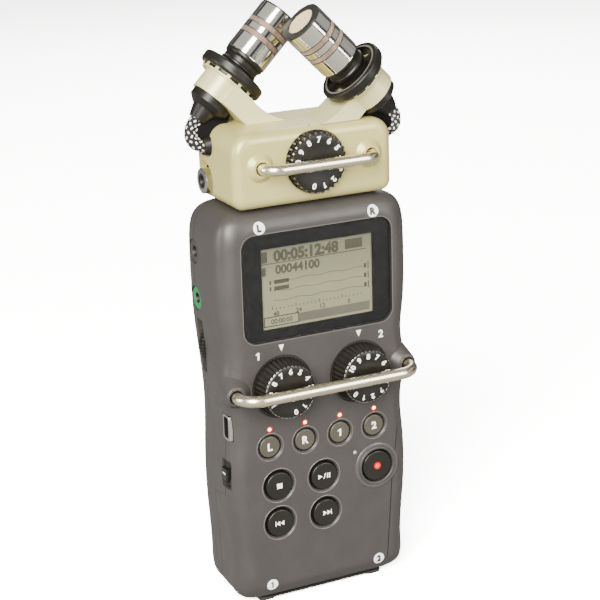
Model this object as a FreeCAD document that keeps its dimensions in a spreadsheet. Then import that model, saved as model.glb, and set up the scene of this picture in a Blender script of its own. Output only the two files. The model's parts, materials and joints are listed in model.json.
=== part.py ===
import FreeCAD, Part
import math
import os
from FreeCAD import Placement, Rotation, Vector

# Handheld field recorder with a detachable crossed-pair microphone capsule.
# Millimetres. +Z is up the recorder, from its connector end to the microphones. -Y is the
# side with the display. "depth" below is always the distance behind the front face, so a
# negative depth stands out in front of it. Left and right are the user's, -X and +X.

doc = FreeCAD.newDocument("field_recorder")
sheet = doc.addObject("Spreadsheet::Sheet", "dims")

DIMENSIONS = [
    # alias, value, meaning
    ("front_face", -11.88, "y of the recorder's front face"),
    ("body_depth", 31.0, "front face to back"),
    ("body_bottom", 1.2, "lower edge of the shells, above the connector plate"),
    ("body_top", 134.4, "top of the shells"),
    ("wall", 2.4, "shell wall"),
    ("edge_round", 6.5, "rounding of the front and back edges"),
    ("seam_gap", 0.25, "gap between the two shells"),
    ("window_width", 52.8, "display window"),
    ("window_height", 35.2, "display window"),
    ("window_middle", 109.3, "height of the window's middle"),
    ("lcd_width", 39.4, "visible display"),
    ("lcd_height", 26.6, "visible display"),
    ("lcd_middle", 108.6, "height of the display's middle"),
    ("gain_across", 13.9, "gain knobs, either side of the middle"),
    ("gain_height", 76.0, "gain knob axes"),
    ("gain_radius", 10.0, "gain knob skirt"),
    ("gain_face", 8.75, "radius of the gain knob's face"),
    ("gain_proud", 6.5, "gain knob above the front face"),
    ("bar_across", 31.0, "guard bar ends, either side of the middle"),
    ("bar_height", 76.1, "guard bar height"),
    ("bar_radius", 1.9, "guard bar rod"),
    ("bar_proud", 9.3, "guard bar axis in front of the face"),
    ("bar_bend", 6.6, "bend radius of the guard bar"),
    ("track_radius", 3.55, "track button"),
    ("track_height", 56.05, "track button axes"),
    ("track_pitch", 12.7, "between track buttons"),
    ("key_radius", 4.65, "transport button"),
    ("record_radius", 5.25, "record button"),
    ("key_gap", 0.5, "gap round a button"),
    ("stem_radius", 2.95, "knob stem"),
    ("bush_radius", 3.0, "bush that a knob stem turns in"),
    ("capsule_width", 55.0, "capsule housing"),
    ("capsule_bottom", 135.0, "lowest face of the capsule housing"),
    ("capsule_top", 159.0, "top face of the capsule housing"),
    ("capsule_depth", 30.6, "capsule housing, front to back"),
    ("capsule_seam", 16.0, "depth of the capsule's seam"),
    ("dial_radius", 10.0, "capsule level knob"),
    ("dial_height", 148.0, "capsule level knob axis"),
    ("dial_proud", 3.0, "capsule level knob above the face"),
    ("hoop_across", 18.9, "capsule guard bar ends"),
    ("hoop_height", 148.2, "capsule guard bar height"),
    ("hoop_radius", 1.8, "capsule guard bar rod"),
    ("hoop_proud", 6.3, "capsule guard bar axis in front of the face"),
    ("mic_middle", 14.85, "depth of the vertical axis that the two microphones mirror about"),
    ("mic_offset", 9.0, "each microphone's axis in front of or behind mic_middle"),
    ("mic_tip_across", 0.55, "microphone front, past the middle"),
    ("mic_tip_height", 190.4, "microphone front"),
    ("mic_radius", 7.1, "microphone body"),
    ("mic_length", 17.4, "microphone body"),
    ("ring_radius", 11.1, "shock mount ring, outside"),
    ("ring_hole", 8.9, "shock mount ring, inside"),
    ("ring_front", 22.7, "shock mount ring, from the microphone's front"),
    ("ring_length", 3.5, "shock mount ring, along the axis"),
    ("barrel_radius", 7.6, "microphone holder"),
    ("barrel_front", 27.2, "holder, from the microphone's front"),
    ("barrel_back", 34.3, "holder, from the microphone's front"),
    ("cable_radius", 2.15, "microphone cable"),
    ("battery_radius", 7.15, "AA cell"),
    ("battery_length", 50.0, "AA cell"),
    ("foot_height", 0.7, "feet below the connector plate"),
    ("combo_across", 12.0, "input sockets, either side of the middle"),
    ("combo_depth", 15.0, "input socket axes"),
    ("combo_radius", 10.0, "input socket"),
    ("combo_face", 9.0, "input socket, where it shows in the connector plate"),
    ("plug_radius", 3.25, "6.35 mm plug bore"),
    ("mini_radius", 1.8, "3.5 mm plug bore"),
    ("micro_radius", 1.3, "2.5 mm plug bore"),
    ("tripod_radius", 3.175, "quarter inch tripod thread"),
    ("tripod_height", 98.0, "tripod thread"),
]
for row, (alias, value, meaning) in enumerate(DIMENSIONS, 1):
    sheet.set(f"A{row}", meaning)
    sheet.set(f"B{row}", str(value))
    sheet.setAlias(f"B{row}", alias)
doc.recompute()
dim = {alias: float(sheet.get(alias)) for alias, value, meaning in DIMENSIONS}

X, Y, Z = Vector(1, 0, 0), Vector(0, 1, 0), Vector(0, 0, 1)
SIDES = (("left", -1), ("right", 1))


# ---------------------------------------------------------------- helpers

def bind(obj, prop, value):
    """Tie one property to the sheet. A number is left as a plain number."""
    obj.setExpression(prop, str(value))


def cells(expression):
    """Short form of an expression: $name stands for the sheet's cell of that name."""
    return str(expression).replace("$", "dims.")


def place(obj, across, depth, height, direction=Z):
    """Put an object's origin at a place whose coordinates are expressions of the sheet."""
    obj.Placement = Placement(Vector(), Rotation(Z, direction))
    bind(obj, "Placement.Base.x", cells(across))
    bind(obj, "Placement.Base.y", cells(f"$front_face + ({depth})"))
    bind(obj, "Placement.Base.z", cells(height))
    return obj


def box(name, size, corner):
    """Box from its lowest corner: size and corner are (across, depth, height)."""
    obj = doc.addObject("Part::Box", name)
    for prop, value in zip(("Length", "Width", "Height"), size):
        bind(obj, prop, cells(value))
    return place(obj, *corner)


def block(name, size, middle):
    """Box by its middle."""
    corner = [f"({m}) - ({s})/2" for m, s in zip(middle, size)]
    return box(name, size, corner)


def rod(name, radius, length, start, direction=Y):
    """Cylinder that runs from start along direction."""
    obj = doc.addObject("Part::Cylinder", name)
    bind(obj, "Radius", cells(radius))
    bind(obj, "Height", cells(length))
    return place(obj, *start, direction)


def cone(name, radius1, radius2, length, start, direction=Y):
    obj = doc.addObject("Part::Cone", name)
    bind(obj, "Radius1", cells(radius1))
    bind(obj, "Radius2", cells(radius2))
    bind(obj, "Height", cells(length))
    return place(obj, *start, direction)


def feature(name, shape):
    """A shape made with Part's own functions, already in place."""
    obj = doc.addObject("Part::Feature", name)
    obj.Shape = shape
    return obj


def fuse(name, parts):
    obj = doc.addObject("Part::MultiFuse", name)
    obj.Shapes = parts
    return obj


def group(name, parts):
    """Separate solids that share one node."""
    obj = doc.addObject("Part::Compound", name)
    obj.Links = parts
    return obj


def cut(name, base, tools):
    tool = tools[0] if len(tools) == 1 else fuse(name + "_tools", tools)
    obj = doc.addObject("Part::Cut", name)
    obj.Base = base
    obj.Tool = tool
    return obj


def common(name, base, tool):
    obj = doc.addObject("Part::Common", name)
    obj.Base = base
    obj.Tool = tool
    return obj


def rounded(name, base, radius, wanted):
    """Fillet the edges of base that wanted(edge) picks."""
    doc.recompute()
    obj = doc.addObject("Part::Fillet", name)
    obj.Base = base
    obj.Edges = [(i, radius, radius) for i, edge in enumerate(base.Shape.Edges, 1) if wanted(edge)]
    return obj


def at(across, depth, height):
    return Vector(across, dim["front_face"] + depth, height)


def prism(points, low, high):
    """Solid from (depth, height) points, between two values of x."""
    wire = Part.makePolygon([at(low, d, z) for d, z in points + points[:1]])
    return Part.Face(wire).extrude(Vector(high - low, 0, 0))


def is_arc_of(radius):
    def wanted(edge):
        return isinstance(edge.Curve, Part.Circle) and abs(edge.Curve.Radius - radius) < 1e-6
    return wanted


def is_upright(edge):
    return abs(edge.tangentAt(edge.FirstParameter).z) > 0.99


def is_front_rim(depth):
    """Picks the round edges in front of a depth, leaving out the short ones."""
    def wanted(edge):
        return edge.CenterOfMass.y < at(0, depth, 0).y and edge.Length > 9
    return wanted


# ---------------------------------------------------------------- recorder shells

# Outline of the body seen from the front: height, half width at the front and at the back.
# They are the poles of a smooth closed curve, which is why the row at the guard bar's
# ears is wider than the ears.
BODY_PROFILE = [
    (dim["body_bottom"], 32.8, 31.0),
    (14.0, 30.3, 29.8),
    (34.0, 33.2, 31.4),
    (52.0, 32.9, 31.0),
    (64.5, 30.8, 30.4),
    (76.2, 35.0, 30.3),
    (85.5, 31.4, 32.0),
    (95.0, 33.0, 32.9),
    (105.0, 33.9, 33.2),
    (120.0, 33.6, 33.4),
    (dim["body_top"], 33.2, 32.7),
]


def body_section(depth, inset):
    """Closed outline of the body at one depth, moved inwards by inset."""
    share = depth / dim["body_depth"]
    right = []
    for height, front, back in BODY_PROFILE:
        height = min(max(height, dim["body_bottom"] + inset), dim["body_top"] - inset)
        right.append(at(front + share * (back - front) - inset, depth, height))
    low, high = right[0], right[-1]
    bottom = [Vector(0, low.y, low.z), Vector(0.55 * low.x, low.y, low.z)]
    top = [Vector(high.x / 2, low.y, high.z), Vector(0, low.y, high.z)]
    half = bottom + right + top
    mirrored = [Vector(-p.x, p.y, p.z) for p in reversed(half[1:-1])]
    curve = Part.BSplineCurve()
    curve.buildFromPolesMultsKnots(half + mirrored, periodic=True, degree=3)
    return Part.Wire([curve.toShape()])


def body_solid(inset):
    """The body's outer form, or with an inset the hollow inside its walls."""
    radius = dim["edge_round"] - inset
    angles = [math.radians(a) for a in (0, 22.5, 45, 67.5, 90)]
    steps = [(radius * (1 - math.cos(a)), radius * (1 - math.sin(a))) for a in angles]
    span = dim["body_depth"] - 2 * inset
    sections = [body_section(inset + d, inset + s) for d, s in steps]
    straight = (radius + 3, span / 2, span - radius - 3)
    sections += [body_section(inset + d, inset) for d in straight]
    sections += [body_section(inset + span - d, inset + s) for d, s in reversed(steps)]
    return Part.makeLoft(sections, True, False)


def ear(side):
    """Boss round one end of the guard bar, leaning in to the body."""
    tip = Part.Circle(at(side * (dim["bar_across"] - 0.1), -2.05, dim["bar_height"]), Y, 3.1)
    root = Part.Circle(at(side * 27.2, 4.0, dim["bar_height"] + 0.8), Y, 7.0)
    middle = Part.Circle(at(side * 29.6, 0.2, dim["bar_height"] + 0.2), Y, 4.6)
    wires = [Part.Wire([circle.toShape()]) for circle in (tip, middle, root)]
    boss = Part.makeLoft(wires, True, False)
    rim = [e for e in boss.Edges if abs(e.CenterOfMass.y - at(0, -2.05, 0).y) < 1e-3 and e.Length > 1]
    return boss.makeFillet(0.7, rim)


# Seam between the shells, as (depth, height): far back at the top, close to the front beside
# the transport buttons, and back again at the connector end.
SEAM = [
    (22, 160), (22, 72.6), (15.6, 71.6), (6.6, 69.6),
    (6.6, 40.2), (8.6, 39.4), (17, 37.6), (17, -9),
]


def seam_region(shift):
    """Everything in front of the seam, moved back by shift."""
    return prism([(-30, -9), (-30, 160)] + [(d + shift, z) for d, z in SEAM], -60, 60)


# Line down the front, between the face and the rounded edge on the right, as (across, height).
FACE_LINE = [(27.75, 56), (27, 48.5), (25.2, 34.3), (24.7, 27.1), (23.2, 7.3), (22.6, 4)]
FACE_LINE_WIDTH = 0.34
FACE_LINE_DEPTH = 0.4


def face_line():
    """Shallow groove that follows the line, seen from the front."""
    there = [at(x, -1, z) for x, z in FACE_LINE]
    back = [at(x + FACE_LINE_WIDTH, -1, z) for x, z in reversed(FACE_LINE)]
    wire = Part.makePolygon(there + back + there[:1])
    return Part.Face(wire).extrude(Y * (1 + FACE_LINE_DEPTH))


outer = body_solid(0)
hollow = body_solid(dim["wall"])
skin = outer.cut(hollow)
eared_skin = outer.fuse([ear(side) for side_name, side in SIDES]).cut(hollow)
front_skin = eared_skin.common(seam_region(-dim["seam_gap"] / 2))
front_blank = feature("front_blank", front_skin.cut(face_line()))
rear_blank = feature("rear_blank", skin.cut(seam_region(dim["seam_gap"] / 2)))

KEYS = [
    # name, across, height, radius
    ("stop_button", "-16.4", "42.1", "$key_radius"),
    ("play_button", "0", "42.1", "$key_radius"),
    ("record_button", "19.7", "41.6", "$record_radius"),
    ("rewind_button", "-16.4", "28.9", "$key_radius"),
    ("forward_button", "0.3", "28.9", "$key_radius"),
]
TRACKS = [("left", -1.5), ("right", -0.5), ("one", 0.5), ("two", 1.5)]


def window_pane(name, width, height, corner_radius, depth, thickness, middle="$window_middle"):
    """Plate with rounded corners, parallel to the front face."""
    plate = block(name + "_blank", (width, thickness, height), ("0", f"{depth} + {thickness}/2", middle))

    def upright(edge):
        return abs(edge.tangentAt(edge.FirstParameter).y) > 0.99

    return rounded(name, plate, corner_radius, upright)


def rim_cut(name, radius, chamfer, hole_at):
    """Bevel round the mouth of a hole in the front face."""
    across, start, height = hole_at
    mouth = f"{radius} + {chamfer} + 0.05"
    return cone(name, mouth, radius, f"{chamfer} + 0.05", (across, "-0.05", height))


front_cuts = [
    window_pane("window_seat", "$window_width + 0.3", "$window_height + 0.3", 4.6, "-1", "2.75"),
    block("lcd_opening", ("$lcd_width + 4", "6", "$lcd_height + 4"), ("0.3", "2", "$lcd_middle")),
]
for side_name, side in SIDES:
    knob_at = (f"{side}*$gain_across", "-3", "$gain_height")
    front_cuts.append(rod(f"gain_seat_{side_name}", "$gain_radius + 0.35", "3.8", knob_at))
    front_cuts.append(rim_cut(f"gain_rim_{side_name}", "$gain_radius + 0.35", 0.35, knob_at))
    front_cuts.append(rod(f"gain_hole_{side_name}", "4.6", "8", knob_at))
    end_at = (f"{side}*$bar_across", "-4", "$bar_height")
    front_cuts.append(rod(f"bar_gap_{side_name}", "$bar_radius + 0.4", "5.4", end_at))
    front_cuts.append(rod(f"bar_socket_{side_name}", "$bar_radius", "8", end_at))
for name, across, height, radius in KEYS:
    hole_at = (across, "-3", height)
    front_cuts.append(rod(name + "_hole", f"{radius} + $key_gap", "8", hole_at))
    if name != "record_button":
        front_cuts.append(rim_cut(name + "_rim", f"{radius} + $key_gap", 0.55, hole_at))
for name, place_in_row in TRACKS:
    across = f"{place_in_row}*$track_pitch"
    hole_at = (across, "-3", "$track_height")
    lamp_at = (across, "-3", "$track_height + 6.15")
    front_cuts.append(rod(f"track_hole_{name}", "$track_radius + $key_gap", "8", hole_at))
    front_cuts.append(rim_cut(f"track_rim_{name}", "$track_radius + $key_gap", 0.35, hole_at))
    front_cuts.append(rod(f"lamp_hole_{name}", "1.05", "8", lamp_at))

record_ring = cut(
    "record_ring",
    rod("record_ring_outside", "6.9", "3.5", ("19.7", "-0.8", "41.6")),
    [rod("record_ring_inside", "$record_radius + $key_gap", "8", ("19.7", "-3", "41.6"))],
)
record_ring = rounded("record_ring_soft", record_ring, 0.5, is_front_rim(-0.79))

# Openings on the left side, which cut both shells where the seam runs through them.
left_cuts = [
    rod("line_out_hole", "4.05", "6", ("-35", "22", "118.6"), X),
    rod("phones_hole", "4.05", "6", ("-35", "22", "103"), X),
    block("volume_slot", ("16", "4.2", "18.0"), ("-31", "21", "87")),
    block("usb_hole", ("14", "5.0", "8.9"), ("-29", "5.3", "63.7")),
    block("switch_recess", ("3.0", "6.0", "9.7"), ("-33.0", "6.2", "47.4")),
    block("switch_slot", ("10", "2.4", "6.8"), ("-31", "6.2", "47.4")),
]
# Openings on the right side.
right_cuts = [
    rod("menu_hole", "3.3", "6", ("29", "17", "121"), X),
    block("lever_slot", ("8", "4.4", "13.0"), ("33", "17", "106")),
    rod("remote_hole", "3.3", "10", ("25", "22", "88"), X),
    block("card_door_seat", ("14", "7.4", "30.7"), ("31", "11.6", "54.35")),
]
rear_cuts = [
    block("battery_bay", ("46", "8", "54.4"), ("0", "29", "52.6")),
    rod("tripod_hole", "5.6", "8", ("0", "25", "$tripod_height")),
]
end_cuts = [block("capsule_opening", ("27", "10.4", "8"), ("0", "15.5", "$body_top - 1"))]
for side_name, side in SIDES:
    socket_at = (f"{side}*$combo_across", "$combo_depth", "-1")
    end_cuts.append(rod(f"combo_opening_{side_name}", "$combo_radius + 0.2", "16", socket_at, Z))
for column in range(-2, 3):
    for line in range(3):
        hole_at = (f"{column}*3.4", "27", f"117 + {line}*3.4")
        rear_cuts.append(rod(f"speaker_hole_{column + 2}{line}", "0.9", "6", hole_at))
SCREWS = [(-20, 90), (20, 90), (-22, 125), (22, 125), (-18, 16), (18, 16)]
for number, (across, height) in enumerate(SCREWS, 1):
    rear_cuts.append(rod(f"screw_seat_{number}", "2.3", "3", (across, "29.6", height)))
    rear_cuts.append(rod(f"screw_way_{number}", "1.25", "8", (across, "25", height)))

side_cuts = fuse("side_openings", left_cuts + right_cuts)
front_tools = fuse("front_openings", front_cuts + end_cuts + [side_cuts])
rear_tools = fuse("rear_openings", rear_cuts + end_cuts + [side_cuts])
front_shell = cut("front_shell", fuse("front_with_ring", [front_blank, record_ring]), [front_tools])
rear_shell = cut("rear_shell", rear_blank, [rear_tools])

# Lift-off cover over the cells, cut from the same outer form as the rear shell.
cover_zone = box("cover_zone", ("45.4", "6", "53.8"), ("-22.7", "28.6", "25.7"))
cover_skin = feature("cover_skin", outer)
battery_cover = common("battery_cover", cover_skin, cover_zone)

# ---------------------------------------------------------------- display and electronics

display_window = window_pane("display_window", "$window_width", "$window_height", 4.4, "0.15", "1.0")
bezel_blank = window_pane("bezel_blank", "$window_width - 0.4", "$window_height - 0.4", 4.2, "1.2", "0.5")
lcd_sight = block("lcd_sight", ("$lcd_width", "4", "$lcd_height"), ("0.4", "1.5", "$lcd_middle"))
lcd_bezel = cut("lcd_bezel", bezel_blank, [lcd_sight])
lcd_size = ("$lcd_width + 3", "2.2", "$lcd_height + 3")
lcd_panel = block("lcd_panel", lcd_size, ("0.3", "2.9", "$lcd_middle"))
board_plate = block("board_plate", ("54", "1.4", "96"), ("0", "8.3", "80"))
main_board = cut(
    "main_board",
    board_plate,
    [rod(f"board_hole_{n}", "3.6", "4", (f"{s}*$gain_across", "7", "$gain_height")) for n, s in SIDES],
)
speaker_parts = [
    rod("speaker_basket", "9.0", "1.0", ("0", "27.3", "120.4")),
    cone("speaker_magnet", "5.0", "8.0", "2.4", ("0", "24.9", "120.4")),
]
speaker = fuse("speaker", speaker_parts)

cells_list = []
for side_name, side in SIDES:
    across = f"{side}*($battery_radius + 0.4)"
    cell_at = (across, "20.8", "27.8")
    can = rod(f"cell_can_{side_name}", "$battery_radius", "$battery_length - 1", cell_at, Z)
    nub = rod(f"cell_nub_{side_name}", "2.7", "$battery_length", cell_at, Z)
    cells_list.append(fuse(f"cell_{side_name}", [can, nub]))
aa_batteries = group("aa_batteries", cells_list)
contact_plates = []
for side_name, side in SIDES:
    across = f"{side}*($battery_radius + 0.4)"
    for end, height in (("top", "78.2"), ("low", "27.4")):
        name = f"contact_{end}_{side_name}"
        contact_plates.append(block(name, ("11", "11", "0.6"), (across, "20.8", height)))
battery_contacts = group("battery_contacts", contact_plates)

# ---------------------------------------------------------------- guard bars


def hoop(name, across, height, radius, proud, bend, root):
    """Bent rod: two ends going into the face and a straight grip in front of it."""
    inner = across - bend
    line_depth = bend - proud
    diagonal = bend * math.sqrt(0.5)
    points = {}
    for side in (-1, 1):
        points[side] = {
            "root": at(side * across, root, height),
            "leg": at(side * across, line_depth, height),
            "bend": at(side * (inner + diagonal), line_depth - diagonal, height),
            "grip": at(side * inner, -proud, height),
        }
    left, right = points[-1], points[1]
    edges = [
        Part.LineSegment(left["root"], left["leg"]),
        Part.Arc(left["leg"], left["bend"], left["grip"]),
        Part.LineSegment(left["grip"], right["grip"]),
        Part.Arc(right["grip"], right["bend"], right["leg"]),
        Part.LineSegment(right["leg"], right["root"]),
    ]
    path = Part.Wire([edge.toShape() for edge in edges])
    section = Part.Wire([Part.Circle(left["root"], Y, radius).toShape()])
    return feature(name, path.makePipeShell([section], True, True))


guard_bar = hoop(
    "guard_bar",
    dim["bar_across"],
    dim["bar_height"],
    dim["bar_radius"],
    dim["bar_proud"],
    dim["bar_bend"],
    3.9,
)

# ---------------------------------------------------------------- controls on the front


def knob(name, across, height, base, face, proud, root):
    """Tapered knob on its own stem, turned about a line square to the front face."""
    body = cone(name + "_body", base, face, f"{proud} + 0.5", (across, "0.5", height), -Y)
    soft = rounded(name + "_soft", body, 0.5, is_front_rim(0))
    stem = rod(name + "_stem", "$stem_radius", f"{root} - 0.2", (across, "0.2", height))
    return fuse(name, [soft, stem])


def potentiometer(name, across, height, front, depth):
    """Potentiometer can with the bush that a knob's stem turns in."""
    can = block(name + "_can", ("12", depth, "12"), (across, f"{front} + {depth}/2", height))
    bush = rod(name + "_bush", "4.2", "3.2", (across, f"{front} - 3.0", height))
    bore = rod(name + "_bore", "$bush_radius", f"{depth} + 2.0", (across, f"{front} - 3.5", height))
    return cut(name, fuse(name + "_solid", [can, bush]), [bore])


gain_knobs = []
gain_pots = []
for number, (side_name, side) in enumerate(SIDES, 1):
    across = f"{side}*$gain_across"
    name = f"gain_knob_{number}"
    sizes = ("$gain_radius", "$gain_face", "$gain_proud")
    gain_knobs.append(knob(name, across, "$gain_height", *sizes, 5.4))
    gain_pots.append(potentiometer(f"gain_pot_{number}", across, "$gain_height", 3.9, 3.6))
gain_potentiometers = group("gain_potentiometers", gain_pots)


def push_button(name, across, height, radius, front):
    """Button cap with a flange behind the shell and a stem towards the board."""
    cap = rod(name + "_cap", radius, f"2.9 - {front}", (across, front, height))
    soft = rounded(name + "_soft", cap, 0.4, is_front_rim(front + 0.1))
    flange = rod(name + "_flange", f"{radius} + 0.85", "0.8", (across, "2.7", height))
    stem = rod(name + "_stem", "1.2", "3.4", (across, "3.2", height))
    return fuse(name, [soft, flange, stem])


transport_buttons = []
for name, across, height, radius in KEYS:
    front = -0.6 if name == "record_button" else -0.5
    transport_buttons.append(push_button(name, across, height, radius, front))
track_buttons = []
lamps = []
for name, place_in_row in TRACKS:
    across = f"{place_in_row}*$track_pitch"
    button = push_button(f"track_button_{name}", across, "$track_height", "$track_radius", 0.1)
    track_buttons.append(button)
    lamps.append(rod(f"lamp_{name}", "1.0", "4.6", (across, "0", "$track_height + 6.15")))
track_lamps = group("track_lamps", lamps)

# ---------------------------------------------------------------- left side

MINI_DEPTH = 14


def mini_jack(name, start, collar_length, bore, collar_radius="3.9"):
    """Round jack that faces -X: a collar in the shell and a square case behind it."""
    across, depth, height = start
    collar = rod(name + "_collar", collar_radius, collar_length, start, X)
    case = box(
        name + "_case",
        ("11", "6.6", "6.6"),
        (f"{across} + {collar_length} - 0.3", f"{depth} - 3.3", f"{height} - 3.3"),
    )
    hole = rod(name + "_bore", bore, f"{MINI_DEPTH}", (f"{across} - 1", depth, height), X)
    return cut(name, fuse(name + "_solid", [collar, case]), [hole])


line_out_jack = mini_jack("line_out_jack", ("-32.9", "22", "118.6"), "4.2", "$mini_radius")
phones_jack = mini_jack("phones_jack", ("-32.7", "22", "103"), "4.2", "$mini_radius")

wheel_disc = rod("volume_disc", "8.8", "3.4", ("-24.3", "19.3", "87"))
wheel_axle = rod("volume_axle", "1.5", "5.4", ("-24.3", "18.3", "87"))
volume_wheel = fuse("volume_wheel", [wheel_disc, wheel_axle])

usb_case = block("usb_case", ("9", "4.4", "8.2"), ("-27.2", "5.3", "63.7"))
usb_port = cut(
    "usb_port",
    usb_case,
    [
        cut(
            "usb_mouth",
            block("usb_space", ("9", "3.4", "7.2"), ("-28.2", "5.3", "63.7")),
            [block("usb_tongue", ("7", "0.9", "5.0"), ("-27.0", "5.3", "63.7"))],
        )
    ],
)
power_switch = fuse(
    "power_switch",
    [
        block("switch_knob", ("1.3", "3.6", "4.0"), ("-32.35", "6.2", "47.4")),
        block("switch_neck", ("4.2", "1.8", "2.2"), ("-30.6", "6.2", "47.4")),
        block("switch_plate", ("1.0", "3.6", "9.6"), ("-28.3", "6.2", "47.4")),
    ],
)

# ---------------------------------------------------------------- right side

remote_collar = rod("remote_collar", "3.2", "4.4", ("28.1", "22", "88"), X)
remote_case = block("remote_case", ("8", "5.6", "5.6"), ("24.2", "22", "88"))
remote_jack = cut(
    "remote_jack",
    fuse("remote_solid", [remote_collar, remote_case]),
    [rod("remote_bore", "$micro_radius", "12", ("21.5", "22", "88"), X)],
)
menu_button = fuse(
    "menu_button",
    [
        rod("menu_cap", "2.9", "5.4", ("27.6", "17", "121"), X),
        rod("menu_flange", "3.8", "0.9", ("27.6", "17", "121"), X),
    ],
)
scroll_lever = fuse(
    "scroll_lever",
    [
        block("lever_tab", ("5.0", "3.2", "5.0"), ("30.4", "17", "106")),
        block("lever_plate", ("1.0", "4.2", "14.0"), ("28.4", "17", "106")),
        rod("lever_axle", "1.0", "4.2", ("28.4", "14.9", "106")),
    ],
)
door_zone = block("door_zone", ("14", "6.8", "28.8"), ("31", "11.6", "54.8"))
door_panel = common("door_panel", feature("door_skin", skin), door_zone)
door_pin = rod("door_pin", "1.05", "6.4", ("31.2", "8.4", "40.4"))
card_door = fuse("card_door", [door_panel, door_pin])
card_slot = cut(
    "card_slot",
    block("card_case", ("15.2", "4.4", "27"), ("18.6", "11.6", "54.5")),
    [block("card_space", ("15.2", "2.6", "24.6"), ("19.6", "11.6", "54.5"))],
)

# ---------------------------------------------------------------- connector end

plate_size = ("48", "22.8", "$body_bottom - $foot_height - 0.1")
plate_blank = box("plate_blank", plate_size, ("-24", "3.6", "$foot_height"))
plate_soft = rounded("plate_soft", plate_blank, 4.5, is_upright)
plate_feet = []
for side_name, side in SIDES:
    for row, depth in (("front", 5.7), ("back", 24.3)):
        foot_at = (f"{side}*20", depth, "$foot_height/2 + 0.1")
        foot = block(f"foot_{row}_{side_name}", ("5.6", "3.6", "$foot_height + 0.2"), foot_at)
        plate_feet.append(rounded(f"foot_{row}_{side_name}_soft", foot, 1.4, is_upright))
plate_solid = fuse("plate_solid", [plate_soft] + plate_feet)
combo_jacks = []
plate_holes = []
PIN_ANGLES = (90, 210, 330)
PIN_CIRCLE = 6.2
for number, (side_name, side) in enumerate(SIDES, 1):
    across = f"{side}*$combo_across"
    name = f"combo_jack_{number}"
    plate_holes.append(rod(name + "_seat", "$combo_face + 0.1", "6", (across, "$combo_depth", "-1"), Z))
    flange = rod(name + "_face", "$combo_face", "3.2", (across, "$combo_depth", "0.2"), Z)
    case = rod(name + "_case", "$combo_radius", "22.6", (across, "$combo_depth", "1.9"), Z)
    tools = [rod(name + "_bore", "$plug_radius", "23", (across, "$combo_depth", "-1"), Z)]
    for angle in PIN_ANGLES:
        shift = (PIN_CIRCLE * math.cos(math.radians(angle)), PIN_CIRCLE * math.sin(math.radians(angle)))
        hole_at = (f"{across} + {shift[0]:.4f}", f"$combo_depth + {shift[1]:.4f}", "-1")
        tools.append(rod(f"{name}_pin_{angle}", "1.25", "14", hole_at, Z))
    combo_jacks.append(cut(name, fuse(name + "_solid", [flange, case]), tools))
connector_plate = cut("connector_plate", plate_solid, plate_holes)

# ---------------------------------------------------------------- back and top

tripod_insert = cut(
    "tripod_insert",
    fuse(
        "tripod_solid",
        [
            rod("tripod_bush", "5.5", "6.0", ("0", "24.9", "$tripod_height")),
            rod("tripod_flange", "7.5", "1.2", ("0", "27.2", "$tripod_height")),
        ],
    ),
    [rod("tripod_thread", "$tripod_radius", "8.5", ("0", "23", "$tripod_height"))],
)
screws = []
for number, (across, height) in enumerate(SCREWS, 1):
    head = rod(f"screw_head_{number}", "2.0", "0.9", (across, "29.6", height))
    shank = rod(f"screw_shank_{number}", "1.2", "4.4", (across, "25.8", height))
    slot = block(f"screw_slot_{number}", ("0.6", "1.0", "2.6"), (across, "30.4", height))
    cross = block(f"screw_cross_{number}", ("2.6", "1.0", "0.6"), (across, "30.4", height))
    screws.append(cut(f"screw_{number}", fuse(f"screw_solid_{number}", [head, shank]), [slot, cross]))
case_screws = group("case_screws", screws)

capsule_socket = cut(
    "capsule_socket",
    block("socket_blank", ("26.6", "10.0", "9.6"), ("0", "15.5", "$body_top - 4.9")),
    [block("socket_space", ("22.4", "6.4", "12"), ("0", "15.5", "$body_top"))],
)

# ---------------------------------------------------------------- microphone capsule housing

CAPSULE_ROUND = 6.4
CAPSULE_WALL = 2.0


def capsule_form(name, inset):
    """Rounded housing block: big soft corners, flatter towards the recorder."""
    width = f"$capsule_width - 2*{inset}"
    tall = f"$capsule_top - $capsule_bottom - 2*{inset}"
    block_shape = box(
        name + "_block",
        (width, f"$capsule_depth - 2*{inset}", tall),
        (f"-$capsule_width/2 + {inset}", f"{inset}", f"$capsule_bottom + {inset}"),
    )
    low = dim["capsule_bottom"] + inset

    def along_depth(edge):
        return abs(edge.tangentAt(edge.FirstParameter).y) > 0.99 and edge.CenterOfMass.z > low + 1

    def foot(edge):
        return abs(edge.tangentAt(edge.FirstParameter).y) > 0.99 and edge.CenterOfMass.z < low + 1

    top = rounded(name + "_top", block_shape, CAPSULE_ROUND - inset, along_depth)
    corners = rounded(name + "_corners", top, 3.6 - inset / 2, foot)

    def front_or_back(edge):
        return edge.BoundBox.YLength < 1e-3 and edge.CenterOfMass.z > low - 1

    return rounded(name, corners, 3.2 - inset / 2, front_or_back)


capsule_outer = capsule_form("capsule_outer", 0)
capsule_inner = capsule_form("capsule_inner", CAPSULE_WALL)
capsule_skin = cut("capsule_skin", capsule_outer, [capsule_inner])
capsule_front_zone = box(
    "capsule_front_zone", ("80", "$capsule_seam + 20 - $seam_gap/2", "60"), ("-40", "-20", "120")
)
capsule_rear_zone = box(
    "capsule_rear_zone", ("80", "40", "60"), ("-40", "$capsule_seam + $seam_gap/2", "120")
)
capsule_front_blank = common("capsule_front_blank", capsule_skin, capsule_front_zone)
capsule_rear_blank = common("capsule_rear_blank", capsule_skin, capsule_rear_zone)

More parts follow.
